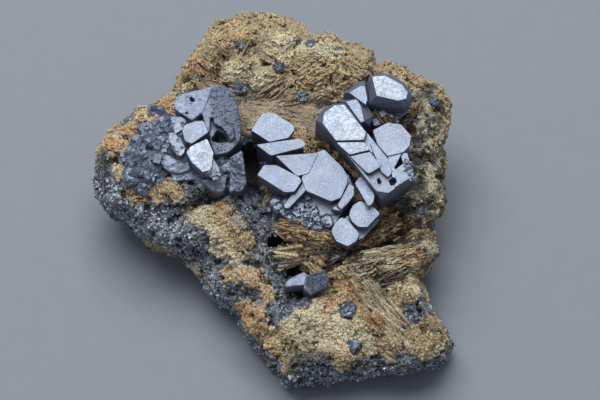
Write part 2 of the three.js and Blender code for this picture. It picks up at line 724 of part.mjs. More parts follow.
        face: [[-16.7, 12.4], [-12.9, 14.8], [-11.4, 5], [-13.1, 2.6], [-16.7, 2.8]],
        top: 6.6, cut: 0.4, lean: [-6, -8],
      },
      {
        face: [[-24, 7], [-17.2, 7.4], [-18.2, 3.1], [-19.9, 2.5], [-22.2, 3.2], [-25.5, 5.9]],
        top: 6.2, cut: 0.4, lean: [-3, -14],
      },
      { face: [[-22.5, 8.2], [-12.6, 11], [-12, 4.2], [-19.8, 3.2]], top: 3, cut: 0.4 },
    ],
  },
  galena_tarnished_mass: {
    look: tarnishedGrey,
    foot: -4.8,
    body: [
      {
        face: [[-47, 6], [-46.5, 15], [-40.5, 26], [-36.5, 25.5], [-35.5, 6], [-41, 3]],
        top: 2.4, cut: 0.5,
      },
    ],
    blocks: crowd({
      places: [
        [-46.2, 12.6, 2.6], [-43.6, 17, 2.4], [-41.2, 21.4, 2.2], [-38.6, 26.4, 1.9], [-37.2, 22.4, 2.1],
        [-38.8, 18, 2.4], [-41.8, 13.8, 2.4], [-45.4, 7.6, 2.5], [-41.6, 9, 2.5], [-37.4, 13.2, 2],
        [-42.4, 4.4, 1.8], [-38, 8.6, 1.9], [-34.6, 26.8, 1.2],
      ],
      top: 4.6, spread: 1.4, tip: 34, seed: 9,
    }),
  },
  galena_small_cube: {
    look: tarnishedGrey,
    foot: -5.6,
    body: [
      {
        face: [[-0.3, -26.1], [1, -23.8], [5.8, -21.5], [7, -22.5], [7.1, -25.4], [1.7, -25.9]],
        top: 6.4, cut: 0.3, lean: [-3, 2],
      },
      {
        face: [[6.9, -22.7], [11.9, -21], [13.4, -23.6], [12.7, -25.9], [7.7, -28.2], [5.6, -26.6]],
        top: 6.6, cut: 0.3, lean: [12, -14],
      },
    ],
  },
};

// Loose dark grains scattered over the rock: where each is seen, its half-width and its turn in degrees.
const grains = [
  { at: [-13.5, 33.6], half: 1.7, turn: 20 },
  { at: [-2.1, 40.2], half: 1.5, turn: 50 },
  { at: [4.8, 31.2], half: 1.7, turn: 10 },
  { at: [-13.2, 46.5], half: 1.2, turn: 35 },
  { at: [7.8, 47], half: 1.1, turn: 60 },
  { at: [45, 29.6], half: 1.1, turn: 15 },
  { at: [41.1, -3], half: 1.4, turn: 40 },
  { at: [37.5, -34.5], half: 2.8, turn: 30 },
  { at: [18.6, -32.7], half: 2.4, turn: 5 },
  { at: [6.6, -30.9], half: 1.5, turn: 25 },
  { at: [20.4, -43.2], half: 2, turn: 55 },
];

const grainStand = 1.2;

// A grain as a block: a turned square face standing a little proud of the rock around it.
function grainBlock({ at, half, turn }) {
  const normalHeight = (topDepth(...at) - faceSlope * at[1]) * Math.cos(faceTurn);
  const [top, lean] = [normalHeight + grainStand, [turn % 9, 6 - (turn % 11)]];
  return { face: squareFace(at, half, turn), top, deep: grainStand + 3, cut: half * 0.6, lean };
}

grains.forEach((grain, index) => {
  clusters[`dark_grain_${index + 1}`] = { look: darkGrain, body: [grainBlock(grain)] };
});

// Builds a cluster: bodies, less hollows, plus the raised blocks, less pits.
function clusterSolid({ foot, body, hollows = [], blocks = [], pits = [] }) {
  let solid = union(body.map((part) => block(part, foot)));
  for (const hollow of hollows) solid = solid.subtract(block(hollow));
  if (blocks.length) solid = solid.add(union(blocks.map((part) => block(part, foot))));
  for (const pit of pits) solid = solid.subtract(block(pit));
  return solid;
}

// The same blocks, larger all round by the fit gap.
function clusterRoom({ foot, body, blocks = [] }) {
  return union([...body, ...blocks].map((part) => block(part, foot, fitGap)));
}

function namedMesh(name, solid, look) {
  const finish = new THREE.MeshStandardMaterial({ ...look, flatShading: true });
  const mesh = new THREE.Mesh(geometryFrom(solid), finish);
  mesh.name = name;
  return mesh;
}

const specimen = new THREE.Group();
const sight = new THREE.Group();
const bench = new THREE.Group();
specimen.position.set(middle.x, middle.y, 0);
sight.rotation.x = sightTurn;
sight.position.z = middleHeight;
bench.rotation.x = faceTurn;
specimen.add(sight);
sight.add(bench);

const taken = [];
for (const [name, cluster] of Object.entries(clusters)) {
  const fitted = taken.reduce((solid, room) => solid.subtract(room), clusterSolid(cluster));
  bench.add(namedMesh(name, biggest(fitted), cluster.look));
  taken.push(clusterRoom(cluster));
}

const table = new THREE.BoxGeometry(400, 400, 40).translate(0, 0, -20).applyMatrix4(worldToSight);
const sockets = union(taken).transform(benchToSight.elements);
const rock = solidFrom(rockGeometry()).subtract(sockets).subtract(solidFrom(table));
sight.add(namedMesh("matrix", biggest(rock), tanRock));

export default specimen;
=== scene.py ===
import math
import bmesh
import bpy
import numpy as np
from mathutils import Matrix, Vector


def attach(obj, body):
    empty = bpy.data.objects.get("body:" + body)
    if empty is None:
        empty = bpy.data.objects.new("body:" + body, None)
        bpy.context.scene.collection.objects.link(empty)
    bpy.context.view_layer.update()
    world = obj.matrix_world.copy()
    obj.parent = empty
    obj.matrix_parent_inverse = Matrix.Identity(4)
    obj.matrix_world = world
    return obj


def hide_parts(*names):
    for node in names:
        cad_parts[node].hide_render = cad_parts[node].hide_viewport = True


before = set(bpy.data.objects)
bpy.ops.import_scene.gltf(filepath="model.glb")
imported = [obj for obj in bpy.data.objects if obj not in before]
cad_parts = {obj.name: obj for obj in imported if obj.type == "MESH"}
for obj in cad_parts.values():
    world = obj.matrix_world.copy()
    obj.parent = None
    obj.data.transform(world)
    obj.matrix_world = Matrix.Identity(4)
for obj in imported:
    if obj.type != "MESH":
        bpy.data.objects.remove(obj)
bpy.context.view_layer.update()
print("frame loaded")

rng = np.random.default_rng(5)

# The line of sight along which the rock's outline is given: across, up and towards the eye, in millimetres.
# Angles are in degrees over the table: rise is the eye's, faceRise that of the crystals' common axis.
sight = {"rise": 58, "middle": (4.66, -4.2, 28), "distance": 600, "faceRise": 75, "aimAcross": 4.5}
faceLean = math.radians(sight["faceRise"] - sight["rise"])
faceTurn = math.radians(sight["faceRise"])
faceAxis = np.array([0, -math.cos(faceTurn), math.sin(faceTurn)])
sightTurn = np.array(Matrix.Rotation(math.radians(90 - sight["rise"]), 3, "X"))


def toWorld(points):
    # Sight space to the model's frame, both in millimetres: a turn about X, then the middle's place.
    return points @ sightTurn.T + np.array(sight["middle"])


def toSight(points):
    return (points - np.array(sight["middle"])) @ sightTurn


# Noise, all as whole arrays
def latticeValue(i, j, k):
    # A fixed random value from 0 to 1 for each lattice point: the fraction left of a large sine.
    wave = np.sin(i * 127.1 + j * 311.7 + k * 74.7) * 43758.5453
    return wave - np.floor(wave)


def noise(x, y, z):
    # Smooth noise from -1 to 1: the cell's eight corner values, blended by a cubic ease along each axis.
    x, y, z = np.broadcast_arrays(x, y, z)
    cell = [np.floor(x), np.floor(y), np.floor(z)]
    ease = [t * t * (3 - 2 * t) for t in (x - cell[0], y - cell[1], z - cell[2])]
    total = np.zeros(x.shape)
    for corner in range(8):
        step = (corner & 1, (corner >> 1) & 1, corner >> 2)
        weight = np.ones(x.shape)
        for axis in range(3):
            weight = weight * (ease[axis] if step[axis] else 1 - ease[axis])
        total += weight * latticeValue(cell[0] + step[0], cell[1] + step[1], cell[2] + step[2])
    return total * 2 - 1


def solidNoise(points, size, seed):
    return noise(points[:, 0] / size, points[:, 1] / size, points[:, 2] / size + seed)


def grainField(points, size, seed):
    # One random centre per cell: the distance to the nearest one, 0 in a grain's middle, and its own value.
    scaled = points / size
    cell = np.floor(scaled)
    nearest = np.full(len(points), 9.0)
    own = np.zeros(len(points))
    for offset in np.ndindex(3, 3, 3):
        near = cell + offset - 1
        i, j, k = near.T
        centre = near + np.stack([latticeValue(i + seed, j, k), latticeValue(i, j + seed, k),
                                  latticeValue(i, j, k + seed)], axis=1)
        away = np.linalg.norm(scaled - centre, axis=1)
        own = np.where(away < nearest, latticeValue(i, j, k), own)
        nearest = np.minimum(nearest, away)
    return nearest, own


def smoothStep(low, high, value):
    # 0 below low, 1 above high, with a cubic ease between; the two may be given the other way round.
    t = np.clip((value - low) / (high - low), 0, 1)
    return t * t * (3 - 2 * t)


# The rock's form, the same as the solid's: its edge as seen, the roll of its flanks and its footprint
rock = {
    "cells": 250,
    "flankRings": 26,
    "underside": (1.04, 1.12, 1.3, 1.5, 1.7, 1.85, 1.95),  # rings under it: 1 plus the way to the middle
    "foot": 0.4,  # greatest height of the underside over the table
    # Depths in millimetres: of the seen rim, of holes and pits, of places kept clear, of voids and of
    # umber gaps, and how far the tan rock stands over the sulphide and swells in patches
    "rimSink": 0.9, "holes": 1.7, "pits": 0.9, "cleared": 0.8, "voids": 1.6, "umberSunk": 0.7,
    "step": 0.7, "patches": 1.0,
    "outline": [
        (-20, 53.5), (-14.7, 56), (-9.7, 56), (-2.4, 54.6), (5, 52.8), (7.8, 50.2), (14, 50), (15.2, 47.4),
        (21.3, 47.4), (25.5, 44.4), (27.3, 40.6), (34.2, 41.3), (38.9, 37.8), (47.3, 33.3), (49.2, 28),
        (48.5, 22.5), (47.3, 17), (47.7, 6.4), (48.2, 1.2), (46.5, -4.2), (42.6, -6.8), (43.5, -11),
        (45.9, -15.3), (43.5, -19), (43.4, -22), (41.2, -23.6), (42, -28), (46.5, -35), (50.7, -43.2),
        (49, -48.6), (42, -51.6), (29.7, -53.2), (22.8, -53.4), (9.8, -55.5), (3, -56.7), (-1, -54.6),
        (-5.5, -48.6), (-14.7, -34.8), (-21.6, -30.2), (-26.2, -23.4), (-31.5, -16.4), (-42.3, -13.4),
        (-46.8, -8.2), (-53, -3.6), (-56.8, 0.3), (-58.2, 7.2), (-56.8, 13.3), (-53.7, 18), (-45.3, 27),
        (-39.3, 28.8), (-33.9, 31.8), (-30, 40.2), (-24.6, 48.6),
    ],
    "flanks": [  # direction in degrees, width of the roll, drop at the edge
        (-180, 7, 16), (-160, 13, 17), (-140, 13, 17), (-112, 11, 15), (-90, 8, 12), (-60, 8, 12),
        (-42, 7, 13), (-28, 6, 14), (0, 5, 13), (22, 5, 9), (45, 4, 6), (90, 4, 5), (115, 4, 5),
        (142, 4, 6), (162, 5, 10), (180, 7, 16),
    ],
    "footprint": [  # direction in degrees, share of the way to the edge
        (-180, 0.6), (-150, 0.7), (-110, 0.9), (-70, 0.94), (-30, 0.88), (10, 0.84), (60, 0.84),
        (110, 0.84), (150, 0.68), (180, 0.6),
    ],
    "swells": [  # across, up, half-widths, turn in degrees, rise
        (-13, 45, 17, 9, 0, 3.4), (14, 43, 13, 6, -20, 2.4), (-12, 37.5, 3.5, 3, 0, -2.6),
        (-19, 40, 5, 2.6, 60, -2), (4, 45, 5, 2.6, 20, -2), (12, 37, 5, 2.6, -10, 1.6),
        (4, 27.5, 20, 5, -5, -2.4), (42, 14, 7, 18, 0, 2.2), (32, 27, 8, 6, 0, 3.5),
        (43.5, 12, 2.8, 2.8, 0, -2.6), (41, -2.5, 3, 2.6, 0, -2.4), (38.5, 37, 3.2, 2.6, 0, -2),
        (30.5, -9.5, 9.5, 5, 48, -5), (39, -24, 8, 3, 18, -3.4), (-10.5, 8.5, 4, 8, 0, -9),
        (-1.5, -13, 3.2, 2.4, 0, -8), (3.6, -20.5, 3.8, 3.2, 20, -6.5), (4, -13.5, 13, 6.5, 8, 4.6),
        (20, -17.5, 12, 5, 20, 3.2), (17, -38, 15, 10, 0, 3), (8, -33, 5, 3.5, 20, 1.8),
        (13, -47, 6, 3.5, -5, 1.4), (37.5, -34.5, 5, 3.6, -35, -2.4), (36, -42, 5, 11, 32, 1.8),
        (-12, -24, 5, 4, -40, 2.4), (-5, -34, 5, 4, -50, 2), (-18, -8, 8.5, 6, -20, 3.4),
        (-8, -11, 4, 5, 0, -2), (-25.5, -2, 7, 2.8, 30, -3.8), (-32, 1, 9, 4.5, 5, 3.6),
        (-50, 12, 6, 8, 0, 1.6), (-44, 24, 8, 4, 38, 1.8),
    ],
    # Ridges that spread from a place: between two directions, from near to far
    "fan": {"at": (16, -19), "from": -80, "to": 30, "bundles": 5, "near": 6, "far": 34, "rise": 1.1},
}


def directionValue(rows, degrees, column):
    # A column of a table whose first column is a direction, straight between its rows
    rows = np.array(rows, float)
    return np.interp(degrees, rows[:, 0], rows[:, column])


def edgeDistance(degrees):
    # How far the seen edge lies from the middle in each direction: straight between the outline's corners.
    corners = np.array(rock["outline"], float)
    angles = np.degrees(np.arctan2(corners[:, 1], corners[:, 0]))
    order = np.argsort(angles)
    reach = np.hypot(corners[:, 0], corners[:, 1])[order]
    angles = angles[order]
    allRound = np.r_[angles[-1] - 360, angles, angles[0] + 360]
    return np.interp(degrees, allRound, np.r_[reach[-1], reach, reach[0]])


def fanRise(across, up):
    # A cosine over the turn, faded to nothing at both sides and both ends by the root of two half sines
    fan = rock["fan"]
    dx, dy = across - fan["at"][0], up - fan["at"][1]
    turn = (np.degrees(np.arctan2(dy, dx)) - fan["from"]) / (fan["to"] - fan["from"])
    way = (np.hypot(dx, dy) - fan["near"]) / (fan["far"] - fan["near"])
    inside = (turn > 0) & (turn < 1) & (way > 0) & (way < 1)
    turn, way = np.clip(turn, 0, 1), np.clip(way, 0, 1)
    fade = np.sqrt(np.abs(np.sin(np.pi * turn) * np.sin(np.pi * way)))
    return np.where(inside, fan["rise"] * fade * np.cos(2 * np.pi * fan["bundles"] * turn), 0)


def topDepth(across, up):
    # Depth of the rock's top: a slope, a bell of exp(-r^4) for each swell, the fan's ridges and two noises.
    depth = -math.tan(faceLean) * up
    for x, y, halfX, halfY, turn, rise in rock["swells"]:
        cos, sin = math.cos(math.radians(turn)), math.sin(math.radians(turn))
        u = ((across - x) * cos + (up - y) * sin) / halfX
        v = ((up - y) * cos - (across - x) * sin) / halfY
        depth = depth + rise * np.exp(-np.minimum((u * u + v * v) ** 2, 50))
    depth = depth + fanRise(across, up)
    return depth + 1.3 * noise(across / 7, up / 7, 3.0) + 0.6 * noise(across / 3.6, up / 3.6, 8.0)


def seenAt(across, up, depth):
    # Sight points seen at across, up when they lie at a depth towards the eye
    closer = 1 - depth / sight["distance"]
    return np.stack([across * closer, up * closer, depth], axis=1)


def frontPoints(degrees, share):
    # The front sheet: the top's depth less a quarter-ellipse roll within the flank's width of the edge.
    edge = edgeDistance(degrees)
    across, up = np.cos(np.radians(degrees)) * edge * share, np.sin(np.radians(degrees)) * edge * share
    width = directionValue(rock["flanks"], degrees, 1) * (1 + 0.4 * noise(across / 6, up / 6, 31.0))
    roll = np.clip(1 - (1 - share) * edge / width, 0, 1)
    drop = directionValue(rock["flanks"], degrees, 2) * (1 - np.sqrt(1 - roll * roll))
    return seenAt(across, up, topDepth(across, up) - drop)


def flankPoints(degrees, share):
    # The hidden flank in world millimetres: from the edge to the footprint, drawn in by a power of the share.
    rim = toWorld(frontPoints(degrees, np.ones(len(degrees))))
    tuck = 1 + (directionValue(rock["footprint"], degrees, 1) - 1) * share ** 1.8
    centre = np.array(sight["middle"])[:2]
    out = rim[:, :2] - centre
    spread = tuck * (1 + 0.03 * np.sin(np.pi * share) * noise(out[:, 0] / 9, out[:, 1] / 9, share * 4))
    foot = -0.6 + 1.2 * noise(out[:, 0] / 8, out[:, 1] / 8, 20.0)
    flat = centre + out * spread[:, None]
    height = rim[:, 2] + (foot - rim[:, 2]) * share ** 1.1
    return np.column_stack([flat, height])


# Places on the rock as seen, each a list of capsules: from, to, half-width
zones = {
    "dark": [  # granular sulphide
        (-56, 0, -32, -8, 8.5), (-56, 10, -52, 0, 5), (-31, -6, 0, -53, 6.5), (-25, 1, -5, -7, 4.5),
        (-7, -7, -1, -30, 4.5), (0, -54, 47, -50, 4.5), (4.5, -44, 14, -50, 2), (-46, 20, -14, 5, 9),
        (-15, -18, -5, -33, 4.6), (-7, -34, -2, -46, 4), (34, -47.5, 49, -47, 3), (-3, -26, 3, -30, 2.4),
        (-8, 16, 20, -9, 5), (12, 26, 31, 2, 4), (-30, 27, -17, 25, 5.5), (24, 33, 34, 32, 4.5),
        (-10.5, 14, -10.5, 3, 4.5), (37, -36, 39, -33, 2.4), (10, -25, 5, -27, 3),
    ],
    "tan": [  # crust that lies over the sulphide
        (-27, -5, -19, -6.5, 2.4), (-20, -6.5, -17.5, -13, 4.6), (-16.5, -14, -14.5, -18, 2.6),
        (-46, 2.6, -36.5, 1.6, 2.2), (-16.5, -22, -7, -23.5, 2.2), (-11.5, -31.5, -9, -35.5, 3.2),
        (-5, -26, -4.5, -29, 1.8), (-4, -42, 1, -48, 2.4), (-50.5, 9.5, -47.5, 5, 1.4),
        (-51.5, 18, -36, 28, 3.8), (-47, 13, -44.5, 19, 2.4), (2, -12, 12, -13, 3.4), (-12, 25, 12, 24, 4),
        (-4, -40, 6, -44, 2.6),
    ],
    "rust": [
        (-32, 36, -28.5, 42, 1.6), (-17, 50.5, -14.5, 48, 1.8), (-52, 17, -36, 28, 3.2),
        (-46.5, 14, -44.5, 19, 2), (-18, -1, -16, -2, 2.4), (-9, -26, -6, -31, 2), (24, -12, 36, -9, 2),
        (8, -15, 18, -19, 2.6), (-17, -22, -8, -23.5, 1.6), (-12, -34, -8, -36, 2.6), (24, 29, 30, 25, 2.6),
        (4, 18, 9, 16, 2.2), (17, -25, 20, -28, 2.2), (22, -34, 25, -36, 2), (34, -18, 40, -17, 2.4),
        (-7, -9.5, 18, -14.5, 3.2), (-45, 1.5, -34, 1, 2.4), (-10, -41, -8, -44, 2.4),
        (13, -31, 15, -29, 2),
    ],
    "pale": [
        (40, 28, 44, 4, 6), (20.5, -20, 29, -31, 2.8), (29, -31, 37, -43, 2.2), (2, -34, 20, -40, 6),
        (-50.5, 9.5, -47.5, 5, 1.6), (-15, 38, -8, 37.5, 2.2), (-7, 39, -5, 38, 2), (0, 47, 12, 46, 4),
        (42, -46, 47, -44, 3), (-25, -7, -19, -13, 3.6), (-17, -15, -13, -19, 2.6),
        (-14, -23, -9, -26, 1.6), (22, -18.5, 43, -14.5, 3), (37, 0, 44, -3, 3.6), (32, -22, 42, -28, 3),
    ],
    "smooth": [(-22, 27, 14, 25, 6), (10, 31, 18, 24, 3.5), (-24, 33, -12, 30, 3)],  # the worn band
    "void": [(-10.8, 13.5, -10.6, 5, 2.8), (-2.6, -12.6, 0, -13, 1.7), (1.6, -20.4, 4.4, -20, 1.7)],
    # grey dirt, partly painted shade
    "dirtAndShade": [
        (44, 31, 46, 2, 6), (38, 22, 40, 8, 4), (41, -20, 43, -28, 2), (16, -16, 34, -8, 4),
        (4, -46, 15, -50, 4),
    ],
    # where the painted glints gather
    "glitter": [(-56, 2, -30, -14, 6), (-30, -17, 0, -53, 3.5), (0, -55, 47, -51, 4)],
    "umberShade": [  # dark brown gaps: partly brown stain, partly painted shade beside and under the crystals
        (21, -13, 37, -5, 4.4), (28, -24, 36, -21, 1.6), (-6, -12.5, 16, -14.5, 1.8),
        (6, -11, 18, -17.5, 1.6), (26.5, -20.5, 31.5, -30, 0.8), (22, -17, 40, -12, 1.2),
        (14, -19.5, 22, -18.5, 1.2), (11, 16, 18, 11, 3), (28, 20, 36, 23, 3),
        (34.5, -30.5, 40.5, -38, 0.8),
    ],
    "clear": [  # kept low and bare round the dark grains and the small crystal
        (-13.5, 33.6, -13.4, 33.6, 1.9), (-2.1, 40.2, -2, 40.2, 1.7), (4.8, 31.2, 4.9, 31.2, 1.9),
        (-13.2, 46.5, -13.1, 46.5, 1.4), (7.8, 47, 7.9, 47, 1.3), (45, 29.6, 45.1, 29.6, 1.3),
        (41.1, -3, 41.2, -3, 1.6), (37.5, -34.5, 37.6, -34.5, 3), (18.6, -32.7, 18.7, -32.7, 2.7),
        (6.6, -30.9, 6.7, -30.9, 1.8), (20.4, -43.2, 20.5, -43.2, 2.3), (2, -24, 10, -24.5, 3),
    ],
    "sugar": [  # crumbly crust
        (-27, -5, -15, -17, 6), (-17, -22, -5, -36, 5), (2, -34, 24, -42, 9), (0, -46, 24, -48, 5),
        (38, -42, 46, -46, 6), (33, -26, 40, -29, 3.6), (-51, 18, -36, 28, 4), (-50, 9, -47.5, 5, 1.5),
    ],
}


def capsuleField(capsules, across, up):
    # Signed distance in millimetres into the nearest capsule: its half-width less the distance to its line
    field = np.full(across.shape, -99.0)
    for x0, y0, x1, y1, half in capsules:
        dx, dy = x1 - x0, y1 - y0
        way = np.clip(((across - x0) * dx + (up - y0) * dy) / (dx * dx + dy * dy), 0, 1)
        away = np.hypot(across - x0 - way * dx, up - y0 - way * dy)
        field = np.maximum(field, half - away)
    return field


def zoneField(name, across, up):
    return capsuleField(zones[name], across, up)


def asSeen(points):
    # Where points of sight space are seen: spread by their depth towards the eye
    return (points[:, :2] / (1 - points[:, 2:] / sight["distance"])).T


zoneEdges = ((2.2, 5.5, 11), (1.6, 2.1, 12), (0.8, 0.9, 13))  # noises that fray them: height, size, seed


def zoneMasks(points, edge, low):
    # Shares of 0 to 1 for each zone; edge is the way out to the rim and low the height over the table.
    across, up = points[:, 0], points[:, 1]
    ragged = sum(high * solidNoise(points, size, seed) for high, size, seed in zoneEdges)
    masks = {name: smoothStep(-0.8, 0.8, zoneField(name, across, up) + ragged) for name in zones}
    front = smoothStep(5, -20, up)
    flank = smoothStep(0.93, 1.0, edge + 0.03 * ragged) * smoothStep(26, 12, low + 3 * ragged)
    flank = flank * (0.35 + 0.65 * front)
    speck = smoothStep(0.62, 0.78, solidNoise(points, 2.2, 14))
    masks["dark"] = np.maximum(masks["dark"] * (1 - masks["tan"]), np.maximum(flank, speck * 0.8))
    masks["rust"] = np.clip(masks["rust"] + smoothStep(0.4, 0.8, solidNoise(points, 6, 15)) * 0.5, 0, 1)
    masks["clear"] = np.maximum(smoothStep(-0.3, 0.3, zoneField("clear", across, up)), masks["void"])
    masks["dirtAndShade"] = masks["dirtAndShade"] * smoothStep(-0.5, 0.4, solidNoise(points, 4, 17))
    masks["pale"] = np.clip(masks["pale"] + smoothStep(0.2, 0.7, solidNoise(points, 9, 16)) * 0.3, 0, 1)
    return masks


# The fan's focus, the ledge's middle and half-widths, and directions in degrees: the band's, the ledge's
# and those of the fan's bundles from the upper to the lower
fibres = {"focus": (17, -20), "ledge": (4, -13.5, 15, 6), "smoothTurn": -6, "ledgeTurn": -8,
          "bundles": (20, -40, -56)}


def fibreTurn(points):
    # Direction of the fibres in degrees, and how much of each place belongs to the fan. The fan's bundles
    # point out from its focus, the ledge and the smooth band are nearly level, and each other patch has a
    # direction of its own.
    across, up = points[:, 0], points[:, 1]
    dx, dy = across - fibres["focus"][0], up - fibres["focus"][1]
    radial = np.degrees(np.arctan2(dy, dx))
    _, own = grainField(points * (1, 1, 0.3), 5.5, 21)
    turn = own * 180
    fan = smoothStep(1, 4, dx) * smoothStep(7, 2, dy - 0.55 * dx)
    ragged = radial + 12 * solidNoise(points, 6, 25)
    bundle = np.select([ragged > 2, ragged > -30], fibres["bundles"][:2], fibres["bundles"][2])
    turn = np.where(fan > 0.5, bundle, turn)
    smooth = zoneField("smooth", across, up) > -1
    turn = np.where(smooth, fibres["smoothTurn"], turn)
    x, y, halfX, halfY = fibres["ledge"]
    ledge = (np.abs(across - x) < halfX) & (np.abs(up - y) < halfY)
    return np.where(ledge, fibres["ledgeTurn"] + 60 * (own - 0.5), turn), fan


def fibrePlace(points, masks):
    # Place along and over the fibres in millimetres, slightly waved, and how fibrous each place is
    turn, fan = fibreTurn(points)
    across, up = points[:, 0], points[:, 1]
    cos, sin = np.cos(np.radians(turn)), np.sin(np.radians(turn))
    along, over = across * cos + up * sin, up * cos - across * sin
    over = over + 0.5 * solidNoise(points, 4, 22) + 0.15 * solidNoise(points, 1.4, 23)
    fibre = np.maximum(np.maximum(fan, 0.75 * masks["smooth"]), 0.45 * (1 - masks["sugar"]))
    return along, over, fan, fibre * (1 - masks["dark"])


def rockRelief(points, masks):
    # Relief in millimetres along the normal, and a painted shade from 0 to 1 for places that lie deep. Tan
    # rock stands a step above the dark and carries ridges 1 - |noise| drawn out along the fibres; crust has
    # round bumps, sulphide small grains, and holes and pits are cut where a noise passes its threshold.
    along, over, fan, fibre = fibrePlace(points, masks)
    masks.update(along=along, over=over, fibre=fibre)
    wide = 1 - np.abs(noise(along / 6, over / 1.5, points[:, 2] / 5 + 31))
    thin = 1 - np.abs(noise(along / 3.2, over / 0.85, 32.0))
    bump, _ = grainField(points, 2.1, 33)
    crust, _ = grainField(points, 1.1, 34)
    rough, fine = solidNoise(points, 2.6, 35), solidNoise(points, 0.9, 36)
    fibrous = 0.9 * wide + 0.6 * thin + 0.45 * rough + 0.25 * fine - 0.9
    fibrous = fibrous * (1 + 0.5 * fan - 0.6 * masks["smooth"])
    sugary = 0.7 - bump + 0.6 * (0.7 - crust) + 0.6 * rough + 0.2 * fine
    grainy = 0.6 * (0.7 - crust) + 0.5 * (0.6 - bump) + 0.55 * rough + 0.3 * fine
    sugar = masks["sugar"] * (1 - 0.7 * fan)
    relief = fibrous + (sugary - fibrous) * np.maximum(sugar, 0.3 * (1 - fan) * (1 - masks["smooth"]))
    relief = relief + rock["step"]
    streak = noise(along / 10, over / 0.95, 40.0)
    relief = relief + 0.4 * streak * np.maximum(masks["smooth"], 0.5 * fan)
    relief = relief + (grainy - relief) * masks["dark"]
    relief = relief - rock["cleared"] * masks["clear"] - rock["voids"] * masks["void"]
    relief = relief - rock["umberSunk"] * masks["umberShade"]
    holes = smoothStep(0.3, 0.62, solidNoise(points, 2.3, 37))
    holes = holes * (1 - 0.85 * masks["smooth"]) * (1 - 0.6 * masks["pale"])
    pits = smoothStep(0.35, 0.6, solidNoise(points, 1.15, 39))
    pits = pits * (1 - 0.7 * masks["smooth"]) * (1 - 0.6 * masks["dark"])
    relief = relief - rock["holes"] * holes - rock["pits"] * pits
    relief = relief + rock["patches"] * solidNoise(points, 5.5, 38)
    # Painted shade in recesses: darker where the relief lies low, in holes and pits and in the voids
    deep = 0.42 - 0.4 * (relief - 0.4 * rough - 0.5) + 0.8 * holes + 0.5 * pits + 1.5 * masks["void"]
    return relief, np.clip(deep, 0, 1)


def gridFaces(rows, columns):
    # Corner indices of a grid's squares, rows by columns of points, numbered row by row.
    j, i = np.mgrid[0:rows - 1, 0:columns - 1]
    first = j * columns + i
    return np.stack([first, first + 1, first + columns + 1, first + columns], axis=-1).reshape(-1, 4)


def gridPlaces():
    # The front grid's directions in degrees and shares of the way out: each square of the grid becomes
    # one turn, and the turns lie closer together towards the edge.
    line = np.linspace(-1, 1, rock["cells"] + 1)
    b, a = (part.ravel() for part in np.meshgrid(line, line, indexing="ij"))
    wide = np.abs(a) > np.abs(b)
    radius = np.where(wide, a, b)
    turn = 45 * np.where(wide, b, a) / np.where(radius == 0, 1, radius)
    turn = np.where(wide, turn, 90 - turn)
    turn = np.where(radius < 0, turn + 180, turn)
    return (turn + 180) % 360 - 180, 1 - (1 - np.abs(radius)) ** 1.25


def rimCorners():
    # The grid's outermost corners in order round the rim, with their directions
    cells = rock["cells"]
    side, ends = np.arange(cells), np.full(cells, cells)
    row = np.concatenate([side * 0, side, ends, ends - side])
    column = np.concatenate([side, ends, ends - side, side * 0])
    degrees = (-135 + 360 * np.arange(4 * cells) / (4 * cells) + 180) % 360 - 180
    return row * (cells + 1) + column, degrees


def rockPoints():
    # The rock's sheets: a grid drawn onto the seen outline, then rings down the flank and in under it.
    degrees, share = gridPlaces()
    ring, rimDegrees = rimCorners()
    points, edge = [toWorld(frontPoints(degrees, share))], [share]
    faces = [gridFaces(rock["cells"] + 1, rock["cells"] + 1)]
    count, around = len(share), len(ring)
    centre = np.array(sight["middle"])[:2]
    for level in list(np.linspace(0, 1, rock["flankRings"])[1:]) + list(rock["underside"]):
        flank = flankPoints(rimDegrees, np.full(around, min(level, 1)))
        if level > 1:
            flank[:, :2] = centre + (flank[:, :2] - centre) * (2 - level)
            flank[:, 2] = np.minimum(flank[:, 2], rock["foot"])
        inner = count + np.arange(around)
        faces.append(np.stack([ring, inner, np.roll(inner, -1), np.roll(ring, -1)], axis=1))
        points.append(flank)
        edge.append(np.full(around, level + 1))
        ring, count = inner, count + around
    points.append([[*centre, rock["foot"]]])
    edge.append([3.0])
    fan = np.stack([ring, np.full(around, count), np.roll(ring, -1)], axis=1)
    return np.concatenate(points), np.concatenate(faces), fan, np.concatenate(edge)


def vertexNormals(points, faces):
    # Each point's normal: the sum of its faces' cross products, made one long.
    normals = np.zeros_like(points)
    diagonal = np.cross(points[faces[:, 2]] - points[faces[:, 0]], points[faces[:, -1]] - points[faces[:, 1]])
    for corner in range(faces.shape[1]):
        np.add.at(normals, faces[:, corner], diagonal)
    length = np.linalg.norm(normals, axis=1)
    return normals / np.maximum(length, 1e-9)[:, None], length


def keepValues(mesh, domain, values):
    # Values kept under their names on a mesh's points or faces
    for key, share in values.items():
        mesh.attributes.new(key, "FLOAT", domain).data.foreach_set("value", share.astype(np.float32))


def readVectors(items, key):
    # The vectors of a mesh's points or faces, one row each
    values = np.zeros(len(items) * 3)
    items.foreach_get(key, values)
    return values.reshape(-1, 3)


def newPiece(name, data):
    # An object in the scene that shows a mesh, light or camera
    piece = bpy.data.objects.new(name, data)
    bpy.context.scene.collection.objects.link(piece)
    return piece


